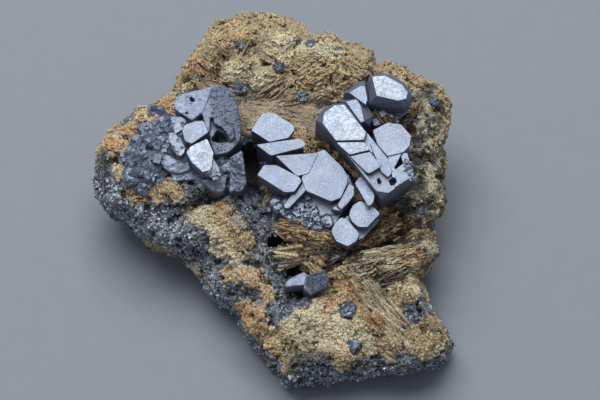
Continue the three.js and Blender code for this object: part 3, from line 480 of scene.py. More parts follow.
def meshObject(name, points, faceSets, attributes=None, smooth=True):
    # A mesh in metres from points in millimetres and arrays of faces, with values kept on its points
    mesh = bpy.data.meshes.new(name)
    sizes = np.concatenate([np.full(len(faces), faces.shape[1]) for faces in faceSets])
    corners = np.concatenate([faces.ravel() for faces in faceSets])
    mesh.vertices.add(len(points))
    mesh.vertices.foreach_set("co", (points * 0.001).astype(np.float32).ravel())
    mesh.loops.add(len(corners))
    mesh.loops.foreach_set("vertex_index", corners.astype(np.int32))
    mesh.polygons.add(len(sizes))
    mesh.polygons.foreach_set("loop_start", np.r_[0, np.cumsum(sizes)[:-1]].astype(np.int32))
    mesh.polygons.foreach_set("use_smooth", np.full(len(sizes), smooth))
    mesh.update(calc_edges=True)
    mesh.validate()
    keepValues(mesh, "POINT", attributes or {})
    return newPiece(name, mesh)


def dress(piece, material, slotName, *nodes):
    # The piece's material, and the solids that it stands for
    piece.data.materials.clear()
    piece.data.materials.append(material)
    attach(piece, "root")
    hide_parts(*nodes)


def buildRock():
    # The rock with its fine relief: the solid's sheets, moved along their normals and kept above the table.
    points, quads, fan, edge = rockPoints()
    normals, area = vertexNormals(points, quads)
    seen = toSight(points)
    masks = zoneMasks(seen, np.clip(edge, 0, 1), points[:, 2])
    relief, deep = rockRelief(seen, masks)
    relief = relief - rock["rimSink"] * smoothStep(0.86, 1, edge)
    fade = np.where(edge > 2, 0.12, 1)
    points = points + normals * (relief * fade)[:, None]
    points[:, 2] = np.where(edge > 2, np.clip(points[:, 2], 0, 0.8), np.maximum(points[:, 2], 0))
    masks["deep"] = deep
    piece = meshObject("rock_surface", points, [quads, fan], masks)
    return piece, points, normals, area, edge, masks, seen


rockPiece, rockCorners, rockNormals, rockArea, rockEdge, rockMasks, rockSeen = buildRock()
rockTurn, rockFan = fibreTurn(rockSeen)
print("rock surface:", len(rockCorners), "corners")


# Shading: helpers, then effects shared by several materials
def linear(red, green, blue):
    # Linear colour from the usual 0 to 255 values.
    return (*[((v / 255 + 0.055) / 1.055) ** 2.4 if v > 10 else v / 3295 for v in (red, green, blue)], 1)


def feed(tree, socket, value):
    # Links a socket to the one given, or sets it to a plain value.
    if isinstance(value, bpy.types.NodeSocket):
        tree.links.new(value, socket)
    else:
        socket.default_value = value


def addNode(tree, kind, values=None, **settings):
    # A shader node with its settings made and its inputs fed.
    made = tree.nodes.new(kind)
    for key, value in settings.items():
        setattr(made, key, value)
    for key, value in (values or {}).items():
        feed(tree, made.inputs[key], value)
    return made


def mathNode(tree, operation, first, second=0.5, third=0.5):
    return addNode(tree, "ShaderNodeMath", {0: first, 1: second, 2: third}, operation=operation).outputs[0]


def times(tree, first, second):
    return mathNode(tree, "MULTIPLY", first, second)


def remap(tree, value, low, high):
    # A value of 0 to 1 turned into one of low to high.
    made = addNode(tree, "ShaderNodeMapRange", {"Value": value, "To Min": low, "To Max": high})
    return made.outputs["Result"]


def mixColours(tree, share, first, second):
    # Inputs 6 and 7 of a mix node are its two colours, and output 2 the colour that it gives.
    made = addNode(tree, "ShaderNodeMix", {"Factor": share, 6: first, 7: second}, data_type="RGBA")
    return made.outputs[2]


def overlay(tree, colour, mask, strength, top):
    # A colour with another laid over it where the mask is, as thick as the strength says
    return mixColours(tree, times(tree, mask, strength), colour, top)


def rampMask(tree, value, low, high):
    # Turns a value into a mask that goes from 0 at low to 1 at high.
    return addNode(tree, "ShaderNodeMapRange", {"Value": value, "From Min": low, "From Max": high},
                   interpolation_type="SMOOTHSTEP").outputs["Result"]


def noiseValue(tree, place, scale, detail=2.0, rough=0.55):
    return addNode(tree, "ShaderNodeTexNoise",
                   {"Vector": place, "Scale": scale, "Detail": detail, "Roughness": rough}).outputs["Fac"]


def vertexValue(tree, name):
    return addNode(tree, "ShaderNodeAttribute", attribute_name=name).outputs["Fac"]


def newGroup(name, sockets):
    # An empty node group with the sockets given as (name, in or out, kind, start value).
    group = bpy.data.node_groups.new(name, "ShaderNodeTree")
    for label, way, kind, start in sockets:
        made = group.interface.new_socket(label, in_out=way, socket_type="NodeSocket" + kind)
        if start is not None:
            made.default_value = start
    return group, group.nodes.new("NodeGroupInput").outputs, group.nodes.new("NodeGroupOutput")


def grainGroup():
    # Small angular grains: each one's own value and a height that falls off towards its edge.
    group, given, result = newGroup("mineral_grain", [
        ("Vector", "INPUT", "Vector", None), ("Scale", "INPUT", "Float", 1500.0),
        ("Own value", "OUTPUT", "Float", None), ("Height", "OUTPUT", "Float", None)])
    cells = addNode(group, "ShaderNodeTexVoronoi", {"Vector": given["Vector"], "Scale": given["Scale"]})
    own = addNode(group, "ShaderNodeSeparateColor", {"Color": cells.outputs["Color"]}).outputs[0]
    edge = addNode(group, "ShaderNodeMapRange", {"Value": cells.outputs["Distance"], "From Max": 0.7,
                                                 "To Min": 1.0, "To Max": 0.0}).outputs["Result"]
    group.links.new(own, result.inputs["Own value"])
    group.links.new(edge, result.inputs["Height"])
    return group


def tintGroup():
    # Slow drift of a colour: lighter and darker patches, then a finer speckle over them.
    group, given, result = newGroup("patchy_tint", [
        ("Vector", "INPUT", "Vector", None), ("Colour", "INPUT", "Color", (0.5, 0.5, 0.5, 1)),
        ("Patches", "INPUT", "Float", 0.3), ("Speckle", "INPUT", "Float", 0.3),
        ("Colour", "OUTPUT", "Color", None)])
    slow = rampMask(group, noiseValue(group, given["Vector"], 160.0, 3.0), 0.3, 0.7)
    fast = rampMask(group, noiseValue(group, given["Vector"], 1400.0, 2.0), 0.3, 0.7)
    level = 1.0
    for value, amount in ((slow, given["Patches"]), (fast, given["Speckle"])):
        level = mathNode(group, "MULTIPLY_ADD", value, amount, level)
        level = mathNode(group, "MULTIPLY_ADD", amount, -0.5, level)
    scaled = addNode(group, "ShaderNodeVectorMath", {0: given["Colour"], "Scale": level}, operation="SCALE")
    group.links.new(scaled.outputs[0], result.inputs["Colour"])
    return group


sharedGroups = {"grain": grainGroup(), "tint": tintGroup()}


def useGroup(tree, name, values):
    made = tree.nodes.new("ShaderNodeGroup")
    made.node_tree = sharedGroups[name]
    for key, value in values.items():
        feed(tree, made.inputs[key], value)
    return made.outputs


def tinted(tree, place, colour, patches, speckle):
    return useGroup(tree, "tint", {"Vector": place, "Colour": colour, "Patches": patches,
                                   "Speckle": speckle})["Colour"]


def grainsAt(tree, place, scale):
    return useGroup(tree, "grain", {"Vector": place, "Scale": scale})


def newMaterial(name):
    # A new material: its node tree, its principled shader and the object's own coordinates.
    material = bpy.data.materials.new(name)
    material.use_nodes = True
    tree = material.node_tree
    place = addNode(tree, "ShaderNodeTexCoord").outputs["Object"]
    return material, tree, tree.nodes["Principled BSDF"], place


# The umber and dirt colours are partly painted shade, the pit colour is painted shade, and the shine of the
# dark rock is a painted glint.
rockLook = {
    "tan": linear(218, 193, 153), "band": linear(196, 174, 148), "pale": linear(236, 222, 188),
    "rust": linear(218, 168, 112), "brown": linear(126, 90, 62), "umberShade": linear(56, 40, 31),
    "dark": linear(146, 153, 162), "paintedGlint": linear(242, 246, 250), "darkDeep": linear(62, 66, 73),
    "dirtAndShade": linear(76, 75, 70), "pit": linear(58, 46, 36), "roughTan": 0.9, "roughDark": 0.45,
    "strand": (0.12, 1.7),  # scale of the fibres' streaks along and over them
}


def spotsOn(weights, count):
    # Indices of the rock's corners, drawn by weight times the area round each corner
    share = weights * rockArea
    return rng.choice(len(share), size=count, p=share / share.sum())


def placesBeside(at):
    # The rock's corners drawn, each moved at random along the surface to hide the grid that they lie on
    front, flank = rockDetail["stray"]
    move = rng.normal(size=(len(at), 3)) * np.where(rockEdge[at] > 1, flank, front)[:, None]
    return rockCorners[at] + move - rockNormals[at] * np.sum(move * rockNormals[at], axis=1, keepdims=True)


def scatter(template, faces, spots, axes, sizes, jitter):
    # Every copy's corner = its spot + template corner x size along its three axes, each moved a little
    shape = template[None] + jitter * rng.uniform(-1, 1, (len(spots), *template.shape))
    points = spots[:, None] + np.einsum("ntk,nk,nkj->ntj", shape, sizes, axes)
    points = points.reshape(-1, 3)
    points[:, 2] = np.clip(points[:, 2], 0.02, None)
    first = np.arange(len(spots)) * len(template)
    every = (faces[None] + first[:, None, None]).reshape(-1, faces.shape[1])
    own = np.repeat(rng.random(len(spots)), len(template))
    return points, every, own


def unit(vectors):
    return vectors / np.maximum(np.linalg.norm(vectors, axis=1), 1e-9)[:, None]


def crossAxes(along, up):
    # Three axes at right angles: along, across and up, the first two squared to the third
    up = unit(up)
    along = unit(along - up * np.sum(along * up, axis=1, keepdims=True))
    return np.stack([along, np.cross(up, along), up], axis=1)


def randomAxes(count):
    up = rng.normal(size=(count, 3))
    return crossAxes(rng.normal(size=(count, 3)), up)


def axesAlong(turn, rise, up):
    # Axes of pieces that point where a turn in radians does as seen, raised a little towards the eye
    return crossAxes(np.stack([np.cos(turn), np.sin(turn), rise], axis=1) @ sightTurn.T, up)


boxCorners = np.array([(x, y, z) for z in (-1, 1) for y in (-1, 1) for x in (-1, 1)], float)
boxFaces = np.array([(0, 2, 3, 1), (4, 5, 7, 6), (0, 1, 5, 4), (2, 6, 7, 3), (0, 4, 6, 2), (1, 3, 7, 5)])
rockDetail = {
    # Blades: count, length, width, height and lift (each from, to), spread of direction in degrees, tilt
    "blades": (9500, (0.8, 2.4), (0.4, 1.2), (0.35, 0.9), (-0.35, 0.15), 22, 0.3),
    "fanBlades": (5000, (0.5, 2), (0.06, 0.3), (0.2, 0.8), (-0.3, 0.1), 9, 0.25),
    "ledgeBlades": (120, (1, 4), (0.1, 0.9), (0.3, 0.8), (-0.2, 0.7), 12, 0.35),
    # Crumbs of each kind: half-size and lift (each from, to)
    "crumbs": 8600,
    "large_crumbs": ((0.22, 0.6), (-0.15, 0.25)), "small_crumbs": ((0.12, 0.3), (-0.05, 0.25)),
    "paleLumps": 130, "paleRim": [(-50, 19, -40, 26, 3), (-50.5, 9, -47.5, 5, 1.2)],
    "cubes": 16500,
    "stray": (0.15, 0.6),  # how far pieces stray from the corners of the front and of the flanks
    "kept": ("dark", "rust", "pale", "smooth", "dirtAndShade", "sugar", "umberShade", "glitter"),  # masks on every piece
}


def bladeSpots(weights, count, length, thick, tall, lift, spread, tilt):
    # Thin blades that lie along the fibres and stand on edge, tilted at random about their own length
    at = spotsOn(weights, count)
    turn = np.radians(rockTurn[at] + rng.normal(0, spread, count))
    rise = rng.normal(0, 0.3 * tilt, count)
    axes = axesAlong(turn, rise, rockNormals[at] + rng.normal(0, tilt, (count, 3)))
    width = thick[0] + (thick[1] - thick[0]) * rng.random(count) ** 1.8
    sizes = np.stack([rng.uniform(*length, count), width, rng.uniform(*tall, count)], axis=1) / 2
    return at, placesBeside(at) + rockNormals[at] * rng.uniform(*lift, count)[:, None], axes, sizes


def detailMesh(name, template, faces, spots, axes, sizes, jitter, at, **fixed):
    # The copies as one mesh that keeps the rock's own values at each copy's spot
    points, every, own = scatter(template, faces, spots, axes, sizes, jitter)
    masks = {key: np.repeat(rockMasks[key][at], len(template)) for key in rockDetail["kept"]}
    masks["own"] = own
    masks.update({key: np.broadcast_to(value, len(points)) for key, value in fixed.items()})
    return meshObject(name, points, [every], masks, smooth=False)


planks = [  # middle, length, width, direction in degrees, lift, strands, strand width
    (5, -9, 24, 3, -4, 1, 12, 1), (-6.9, -15, 7, 2, -62, 1.2, 5, 0.9), (1.5, -16.4, 13, 2.6, 6, 1, 8, 0.9),
    (9, -20, 8, 4, -55, 0.9, 7, 1), (15.5, -17, 12, 4, 33, 0.7, 12, 0.7),
    (11.5, -11.5, 10, 3, -50, 0.8, 8, 0.9), (29, -31, 22, 5, -56, 0.2, 90, 0.3),
    (30, -14, 20, 7, 17, 0.3, 90, 0.35), (32, -22.5, 9, 2.6, 22, 0.3, 12, 0.4),
    (24, -17.5, 12, 3, 24, 0.4, 30, 0.4), (20, -23, 9, 5, -50, 0.2, 30, 0.35),
    (-21, 43, 7, 8, -46, 1.5, 10, 0.9), (-26, 39, 6, 6, -46, 1.4, 8, 0.9),
    (-12.5, 46, 12, 1.2, 63, 1.6, 5, 0.8), (-3, 34, 9, 6, 34, 0.7, 16, 0.9),
    (7, 38, 8, 6, 30, 0.7, 14, 0.9), (-12, 41, 8, 4, -40, 1, 8, 0.9), (20, 40, 8, 7, -30, 0.6, 14, 0.9),
    (-4, 45, 7, 7, -30, 0.6, 12, 0.9), (2, 30, 12, 3, 8, 0.3, 16, 0.4),
]
longBlades = [  # middle, reach, direction in degrees, count, length, greatest width
    (-20, 42.5, 6, -48, 24, 4, 0.9), (-8, 35, 6, 38, 24, 3.2, 0.9),
    (4, 38, 6, -20, 34, 3, 0.9), (12, 36, 6, 30, 30, 3, 0.9), (20, 39, 6, -38, 34, 3, 0.9),
    (-24, 37, 5, -30, 26, 3.5, 0.9), (1, -17.5, 4, 6, 14, 6, 0.8), (-4, -9.5, 3.4, -6, 10, 6, 0.8),
    (6, -10.5, 4, -14, 14, 6, 0.8), (-9, -12, 2, -66, 5, 4.5, 0.8), (9, -21, 3, -62, 12, 5, 0.7),
    (24, -19, 5, 20, 40, 4, 0.35), (33, -15, 5, 22, 40, 4, 0.35), (31, -22.5, 3, 22, 30, 5, 0.4),
    (24, -29, 4, -52, 60, 4.5, 0.3), (29, -36, 4, -54, 60, 4.5, 0.3), (34, -42, 4, -56, 50, 4, 0.35),
]


def plankStrands(x, y, length, width, direction, lift, count, thick):
    # Strands side by side within a plank's width, each laid on the rock's corner nearest to its own middle
    turn = math.radians(direction)
    side, slide = rng.uniform(-0.5, 0.5, count) * width, rng.normal(0, 0.15, count) * length
    across = x + math.cos(turn) * slide - math.sin(turn) * side
    up = y + math.sin(turn) * slide + math.cos(turn) * side
    front = np.flatnonzero(rockEdge <= 1)
    away = (rockSeen[front, 0] - across[:, None]) ** 2 + (rockSeen[front, 1] - up[:, None]) ** 2
    at = front[np.argmin(away, axis=1)]
    turns = turn + rng.normal(0, 0.06, count)
    rise = rng.normal(0, 0.05, count)
    axes = axesAlong(turns, rise, rockNormals[at].mean(axis=0) + rng.normal(0, 0.2, (count, 3)))
    sizes = np.stack([length * rng.uniform(0.25, 0.7, count), thick * rng.uniform(0.5, 1.1, count),
                      rng.uniform(0.6, 1.1, count)], axis=1) / 2
    return at, rockCorners[at] + rockNormals[at] * (lift * rng.uniform(0.3, 1, count))[:, None], axes, sizes


def longBladeSpots(weights, x, y, reach, direction, count, length, widest):
    # Blades within reach of a place, turned to its own direction instead of the fibres'
    near = weights * smoothStep(reach, 0.6 * reach, np.hypot(rockSeen[:, 0] - x, rockSeen[:, 1] - y))
    lengths, widths = (0.5 * length, length), (0.4 * widest, widest)
    at, spots, axes, sizes = bladeSpots(near, count, lengths, widths, (0.6, 1.5), (0, 0.5), 0, 0.2)
    turn = np.radians(direction + rng.normal(0, 7, count))
    return at, spots, axesAlong(turn, rng.normal(0, 0.1, count), axes[:, 2]), sizes


def addBlades():
    # Short blades over the tan rock, thin ones in the fan, some on the ledge, then long blades and planks
    template = boxCorners * np.where(boxCorners[:, 2:] > 0, (0.8, 0.5, 1), (1, 1, 1))
    across, up = rockSeen[:, 0], rockSeen[:, 1]
    tan = np.clip(1 - rockMasks["dark"] * 1.1, 0, 1) * (rockEdge < 1.9) * (1 - rockMasks["clear"])
    tan = tan * smoothStep(-0.6, -2.4, zoneField("void", across, up))
    general = tan * (1 - 0.9 * rockMasks["smooth"]) * (1 - 0.8 * rockMasks["sugar"]) * (1 - rockFan)
    general = general * smoothStep(-0.35, 0.3, solidNoise(rockSeen, 7, 41))
    x, y = fibres["ledge"][:2]
    ledge = (np.abs(across - x - 0.2 * up) < 17) & (np.abs(up - y + 0.2 * (across - x)) < 4.5)
    groups = [bladeSpots(general, *rockDetail["blades"]), bladeSpots(tan * rockFan, *rockDetail["fanBlades"]),
              bladeSpots(tan * ledge, *rockDetail["ledgeBlades"])]
    groups += [longBladeSpots(tan, *row) for row in longBlades]
    groups += [plankStrands(*plank) for plank in planks]
    at, spots, axes, sizes = (np.concatenate(part) for part in zip(*groups))
    # Painted shade under the blades: their lower corners get more than their upper
    deep = np.tile(np.where(template[:, 2] > 0, 0.2, 0.9), len(at))
    return detailMesh("rock_blades", template, boxFaces, spots, axes, sizes, 0.16, at, deep=deep)


def icosahedron():
    # A ball of twenty faces, its corners placed by the golden ratio
    g = (1 + 5 ** 0.5) / 2
    corners = np.array([
        (-1, g, 0), (1, g, 0), (-1, -g, 0), (1, -g, 0), (0, -1, g), (0, 1, g), (0, -1, -g), (0, 1, -g),
        (g, 0, -1), (g, 0, 1), (-g, 0, -1), (-g, 0, 1)]) / math.hypot(1, g)
    faces = np.array([
        (0, 11, 5), (0, 5, 1), (0, 1, 7), (0, 7, 10), (0, 10, 11), (1, 5, 9), (5, 11, 4), (11, 10, 2),
        (10, 7, 6), (7, 1, 8), (3, 9, 4), (3, 4, 2), (3, 2, 6), (3, 6, 8), (3, 8, 9), (4, 9, 5),
        (2, 4, 11), (6, 2, 10), (8, 6, 7), (9, 8, 1)])
    return corners, faces


def addCrumbs(name):
    # Small lumps of crust, half sunk in the rock, closest on the sugary patches
    corners, faces = icosahedron()
    half, lift = rockDetail[name]
    weights = (0.07 + rockMasks["sugar"]) * np.clip(1.05 - rockMasks["dark"], 0, 1) * (rockEdge < 1.9)
    weights = weights * (1 - 0.9 * rockMasks["smooth"]) * (1 - 0.55 * rockFan) * (1 - rockMasks["clear"])
    at = spotsOn(weights, rockDetail["crumbs"])
    sizes = rng.uniform(*half, (len(at), 1)) * rng.uniform(0.7, 1.3, (len(at), 3))
    spots = placesBeside(at) + rockNormals[at] * rng.uniform(*lift, len(at))[:, None]
    return detailMesh(name, corners, faces, spots, randomAxes(len(at)), sizes, 0.24, at, deep=0.25)


def addPaleLumps():
    # Larger rounded pale lumps on the left rim and here and there on the tan rock
    corners, faces = icosahedron()
    across, up = rockSeen[:, 0], rockSeen[:, 1]
    rim = smoothStep(0, 2, capsuleField(rockDetail["paleRim"], across, up))
    weights = (rim + 0.03 * rockMasks["sugar"]) * (1 - rockMasks["dark"] * 0.9) * (rockEdge < 1.5)
    at = spotsOn(weights, rockDetail["paleLumps"])
    sizes = rng.uniform(0.4, 1.0, (len(at), 1)) * rng.uniform(0.8, 1.25, (len(at), 3))
    spots = placesBeside(at) + rockNormals[at] * 0.2
    pale = np.repeat(rng.uniform(0.5, 1, len(at)), 12)
    return detailMesh("pale_lumps", corners, faces, spots, randomAxes(len(at)), sizes, 0.14, at,
                      deep=0.2, dark=0.0, pale=pale)


def addDarkCrystals():
    # Small turned cubes crowded over the dark sulphide
    weights = (rockMasks["dark"] + 0.006) * (rockEdge < 1.9) * (1 - 0.9 * rockMasks["void"])
    at = spotsOn(weights, rockDetail["cubes"])
    half = 0.11 + 0.3 * rng.random(len(at)) ** 3
    spots = placesBeside(at) + rockNormals[at] * (rng.uniform(-0.5, 0.7, len(at)) * half)[:, None]
    sizes = half[:, None] * rng.uniform(0.75, 1.25, (len(at), 3))
    return detailMesh("dark_crystals", boxCorners, boxFaces, spots, randomAxes(len(at)), sizes, 0.1, at,
                      dark=1.0, deep=0.25)


# Splinters along lines: from, to, half-width, height over the crystals' base plane, count, size
slivers = [  # rusty, in the gaps between the crystals
    (27, 27, 33, 22, 1.6, 7.6, 70, 2.2), (2.5, 20, 9, 15.5, 0.9, 6.5, 60, 2.6),
    (11, 17, 24, 5.5, 0.7, 6.5, 120, 3), (9, 13, 14, 11.5, 0.8, 6, 30, 2.4), (36, 23, 40, 29, 1, 6, 30, 3),
    (5, 17.5, 7, 13, 0.5, 7.5, 24, 2), (12, -12, 24, -13.5, 1.4, 3.2, 160, 4),
    (24, -13, 34, -6, 2.4, 3, 240, 4), (-6, 3, -4, 8, 0.8, 4.5, 24, 1.8),
]
shards = [  # galena, on the broken and skeletal places
    (-4, -1, 3, -5.5, 1.4, 6.2, 60, 0.42), (3, -2, 12, -7, 2, 6.4, 120, 0.42),
    (-23.5, 9.6, -20, 6.6, 1, 10.3, 90, 0.36), (36, 12, 38.6, 6, 0.8, 13.4, 70, 0.36),
    (26, 27, 34, 24, 1.6, 7, 60, 0.34), (0, -5, 11, -8.6, 0.7, 5.6, 60, 0.36),
]
fills = [  # tarnished, packed between the crystals of the left group
    (-33, 24, -28.5, 12, 2.4, 5.2, 260, 0.8), (-29, 23.5, -24, 21.5, 1, 6, 90, 0.8),
    (-20, 12, -17, 9, 1.6, 3.4, 90, 0.8), (-30, 10, -22, 6, 2, 3, 180, 0.8),
    (-24, 7, -13, 5, 1.8, 2, 180, 0.8), (-38, 12, -33, 24, 3, 4, 160, 0.9),
]
splinterUp = np.array([0, -0.26, 0.97])  # mean direction of their upper faces, close to the common axis


def seenPoints(across, up, height):
    # World places seen at across, up that lie at a height over the crystals' common plane: depth solved
    # from height = sin(lean) x up x (1 - depth / distance) + cos(lean) x depth
    rise = math.sin(faceLean) * up
    depth = (height - rise) / (math.cos(faceLean) - rise / sight["distance"])
    return toWorld(seenAt(across, up, depth))


def alongLines(rows):
    # Random places beside each line, with the line's direction and the size given for it
    line = np.repeat(np.arange(len(rows)), [row[6] for row in rows])
    x0, y0, x1, y1, half, height, _, size = np.array(rows, float)[line].T
    way, side = rng.random(len(line)), rng.normal(0, 0.6, len(line)) * half
    drop = rng.normal(0, 0.5, len(line))
    dx, dy = x1 - x0, y1 - y0
    reach = np.hypot(dx, dy)
    across, up = x0 + dx * way - dy / reach * side, y0 + dy * way + dx / reach * side
    return seenPoints(across, up, height + drop - 0.25 * np.abs(side)), np.degrees(np.arctan2(dy, dx)), size


def addSlivers():
    # Rusty splinters caught between the crystals, lying roughly along each gap
    spots, turn, size = alongLines(slivers)
    count = len(spots)
    turn = np.radians(turn + rng.normal(0, 24, count))
    axes = axesAlong(turn, rng.normal(0, 0.3, count), splinterUp + rng.normal(0, 0.4, (count, 3)))
    sizes = np.stack([size * rng.uniform(0.3, 1, count), rng.uniform(0.2, 0.6, count),
                      rng.uniform(0.4, 1, count)], axis=1) / 2
    points, every, own = scatter(boxCorners, boxFaces, spots, axes, sizes, 0.2)
    # Slivers in the umber zones get its painted shade
    umberShade = smoothStep(-1.5, 1, zoneField("umberShade", *asSeen(toSight(points))))
    # Every sliver gets some painted shade
    masks = {"own": own, "rust": np.ones(len(points)), "deep": np.full(len(points), 0.7), "umberShade": umberShade}
    return meshObject("rust_slivers", points, [every], masks, smooth=False)


def addShards(name, rows, tilt):
    # Splinters of galena along lines: on the broken and skeletal places, or packed between crystals
    spots, _, size = alongLines(rows)
    count = len(spots)
    sizes = size[:, None] * rng.uniform(0.4, 1.6, (count, 3))
    up = splinterUp + rng.normal(0, tilt, (count, 3))
    axes = crossAxes(rng.normal(size=(count, 3)), up)
    points, every, own = scatter(boxCorners, boxFaces, spots, axes, sizes, 0.12)
    # Each splinter gets a random share of the lit and shaded colours: painted light and shade
    return meshObject(name, points, [every], {"upFace": 0.3 + 0.7 * own}, smooth=False)


def addFacets(name, sources, count, half, depth):
    # Small turned facets near the top of each source mesh, at corners of it drawn at random
    spots = []
    for source in sources:
        points = readVectors(source.data.vertices, "co") * 1000
        top = points[points[:, 2] > points[:, 2].max() - depth]
        spots.append(top[rng.integers(0, len(top), count)])
    spots = np.concatenate(spots)
    sizes = rng.uniform(*half, (len(spots), 1)) * rng.uniform(0.7, 1.3, (len(spots), 3))
    points, every, own = scatter(boxCorners, boxFaces, spots, randomAxes(len(spots)), sizes, 0.12)
    # Each facet gets a random share of the lit and shaded colours: painted light and shade
    return meshObject(name, points, [every], {"upFace": own}, smooth=False)


def tanColour(tree, place):
    # Tan rock with pale and smooth parts, rust that soaks to brown, and dirt and dark brown gaps, both partly
    # painted shade
    look, names = rockLook, ("pale", "rust", "smooth", "dirtAndShade", "umberShade")
    pale, rust, smooth, dirtAndShade, umberShade = (vertexValue(tree, key) for key in names)
    stain = noiseValue(tree, place, 380.0, 3.0)
    colour = mixColours(tree, pale, look["tan"], look["pale"])
    colour = overlay(tree, colour, smooth, 0.75, look["band"])
    colour = overlay(tree, colour, times(tree, rust, rampMask(tree, stain, 0.36, 0.6)), 0.65, look["rust"])
    colour = overlay(tree, colour, times(tree, rust, rampMask(tree, stain, 0.6, 0.72)), 0.85, look["brown"])
    colour = tinted(tree, place, colour, 0.25, 0.3)
    # Dirt: grey, and painted shade, laid over the tan
    dirtAndShadeSpread = rampMask(tree, noiseValue(tree, place, 600.0), 0.25, 0.5)
    colour = overlay(tree, colour, times(tree, dirtAndShade, dirtAndShadeSpread), 0.95, look["dirtAndShade"])
    # Umber: brown, and painted shade beside and under the crystals
    return overlay(tree, colour, times(tree, umberShade, rampMask(tree, stain, 0.3, 0.5)), 0.8, look["umberShade"])


def sulphideColour(tree, place, grain, glitter):
    # Dark grey grains with painted glints on some of them, most in the glitter zones, and some nearly black
    look = rockLook
    glint = times(tree, rampMask(tree, grain, 0.72, 0.86), remap(tree, glitter, 0.4, 1.0))
    colour = mixColours(tree, glint, look["dark"], look["paintedGlint"])
    colour = mixColours(tree, rampMask(tree, grain, 0.3, 0.12), colour, look["darkDeep"])
    return tinted(tree, place, colour, 0.4, 0.4)


def pinholeShade(tree, place, dark):
    # Painted shade of round holes in the middle of some large grains, on the tan rock only; no hole is cut
    grains = grainsAt(tree, place, 850.0)
    middle = rampMask(tree, grains["Height"], 0.68, 0.8)
    chosen = rampMask(tree, grains["Own value"], 0.3, 0.22)
    return times(tree, times(tree, middle, chosen), mathNode(tree, "SUBTRACT", 0.85, dark))


def rockMaterial():
    # Tan rock or dark sulphide by its mask; crevices, gaps between fibres, pinholes and pits get painted
    # shade.
    look = rockLook
    material, tree, shader, place = newMaterial("rock")
    grains, fineGrains = grainsAt(tree, place, 1700.0), grainsAt(tree, place, 3400.0)
    dark, glitter, own, sugar = (vertexValue(tree, key) for key in ("dark", "glitter", "own", "sugar"))
    fibre, along, over = (vertexValue(tree, key) for key in ("fibre", "along", "over"))
    sulphide = sulphideColour(tree, place, grains["Own value"], glitter)
    colour = mixColours(tree, dark, tanColour(tree, place), sulphide)
    # Painted glints on some of the dark crystals
    spark = times(tree, rampMask(tree, own, 0.82, 0.98), times(tree, dark, remap(tree, glitter, 0.25, 1.0)))
    colour = overlay(tree, colour, spark, 0.8, look["paintedGlint"])
    colour = addNode(tree, "ShaderNodeVectorMath", {0: colour, "Scale": remap(tree, own, 0.85, 1.15)},
                     operation="SCALE").outputs[0]
    # Painted shade in crevices, less on the sugary crust
    crevice = rampMask(tree, noiseValue(tree, place, 1500.0, 3.0, 0.6), 0.42, 0.34)
    cracked = mathNode(tree, "MULTIPLY_ADD", sugar, -0.45, 0.75)
    colour = mixColours(tree, times(tree, crevice, cracked), colour, look["pit"])
    strand = addNode(tree, "ShaderNodeCombineXYZ", {"X": times(tree, along, look["strand"][0]),
                                                    "Y": times(tree, over, look["strand"][1])}).outputs[0]
    streak = noiseValue(tree, strand, 1.0, 3.0, 0.6)
    # Painted shade in the gaps between the fibres
    colour = overlay(tree, colour, times(tree, rampMask(tree, streak, 0.47, 0.37), fibre), 0.7, look["pit"])
    # Painted shade of pinholes
    colour = mixColours(tree, pinholeShade(tree, place, dark), colour, look["pit"])
    # Painted shade in the rock's recesses and under its blades
    colour = overlay(tree, colour, rampMask(tree, vertexValue(tree, "deep"), 0.5, 1.0), 0.85, look["pit"])
    height = mathNode(tree, "ADD", grains["Height"], times(tree, fineGrains["Height"], 0.5))
    height = mathNode(tree, "SUBTRACT", height, crevice)
    height = mathNode(tree, "ADD", height, times(tree, times(tree, streak, fibre), 3.5))
    bump = addNode(tree, "ShaderNodeBump", {"Height": height, "Strength": 0.8, "Distance": 0.0003})
    feed(tree, shader.inputs["Base Color"], colour)
    feed(tree, shader.inputs["Metallic"], times(tree, dark, rampMask(tree, grains["Own value"], 0.75, 1.1)))
    feed(tree, shader.inputs["Roughness"], remap(tree, dark, look["roughTan"], look["roughDark"]))
    feed(tree, shader.inputs["Normal"], bump.outputs["Normal"])
    return material


rockFinish = rockMaterial()
for piece in (rockPiece, addBlades(), addCrumbs("large_crumbs"), addCrumbs("small_crumbs"), addDarkCrystals(),
              addSlivers(), addPaleLumps()):
    dress(piece, rockFinish, "rock", "matrix")
print("blades, crumbs and dark crystals added")


# Crystals: a smooth-edged copy of each solid with a frosted, finely pitted skin and painted light and shade
crystalLook = {
    # The side colours are painted shade, the frost colour partly a painted highlight and the hole colour
    # painted shade.
    "bright": linear(170, 179, 196), "brightSide": linear(116, 122, 141), "frostAndHighlight": linear(206, 212, 222),
    "tarnished": linear(150, 157, 176), "tarnishedSide": linear(130, 137, 156), "dull": linear(100, 106, 124),
    "grain": linear(138, 145, 158), "grainSide": linear(108, 113, 125), "shadedHole": linear(46, 47, 56),
    # Frosted places, partly a painted highlight, and dulled places as seen: capsules from, to, half-width
    "frostedAndHighlit": [(15, 26, 20, 20, 4.6), (28, 35, 35, 32, 3.5), (-27, 14, -23, 11, 4), (34, 10, 38, 7, 2)],
    "dulled": [(-18, 31, -17, 22, 4.6), (-22, 16, -16, 16, 3), (10, -24, 11, -25, 3.8), (-15, 12, -13, 3, 3)],
    "edge": 0.00009,  # width of the worn edges, in metres
    "hoppers": ["galena_central_cluster", "galena_crest_crystal"],
    "hopperArea": (1.2, 12),  # of the faces that are sunk, in square millimetres
    "hopperSteps": ((0.22, 0.3), (0.18, 0.45)),  # width of each rim and depth inside it
}
grainNodes = [f"dark_grain_{number}" for number in range(1, 12)]
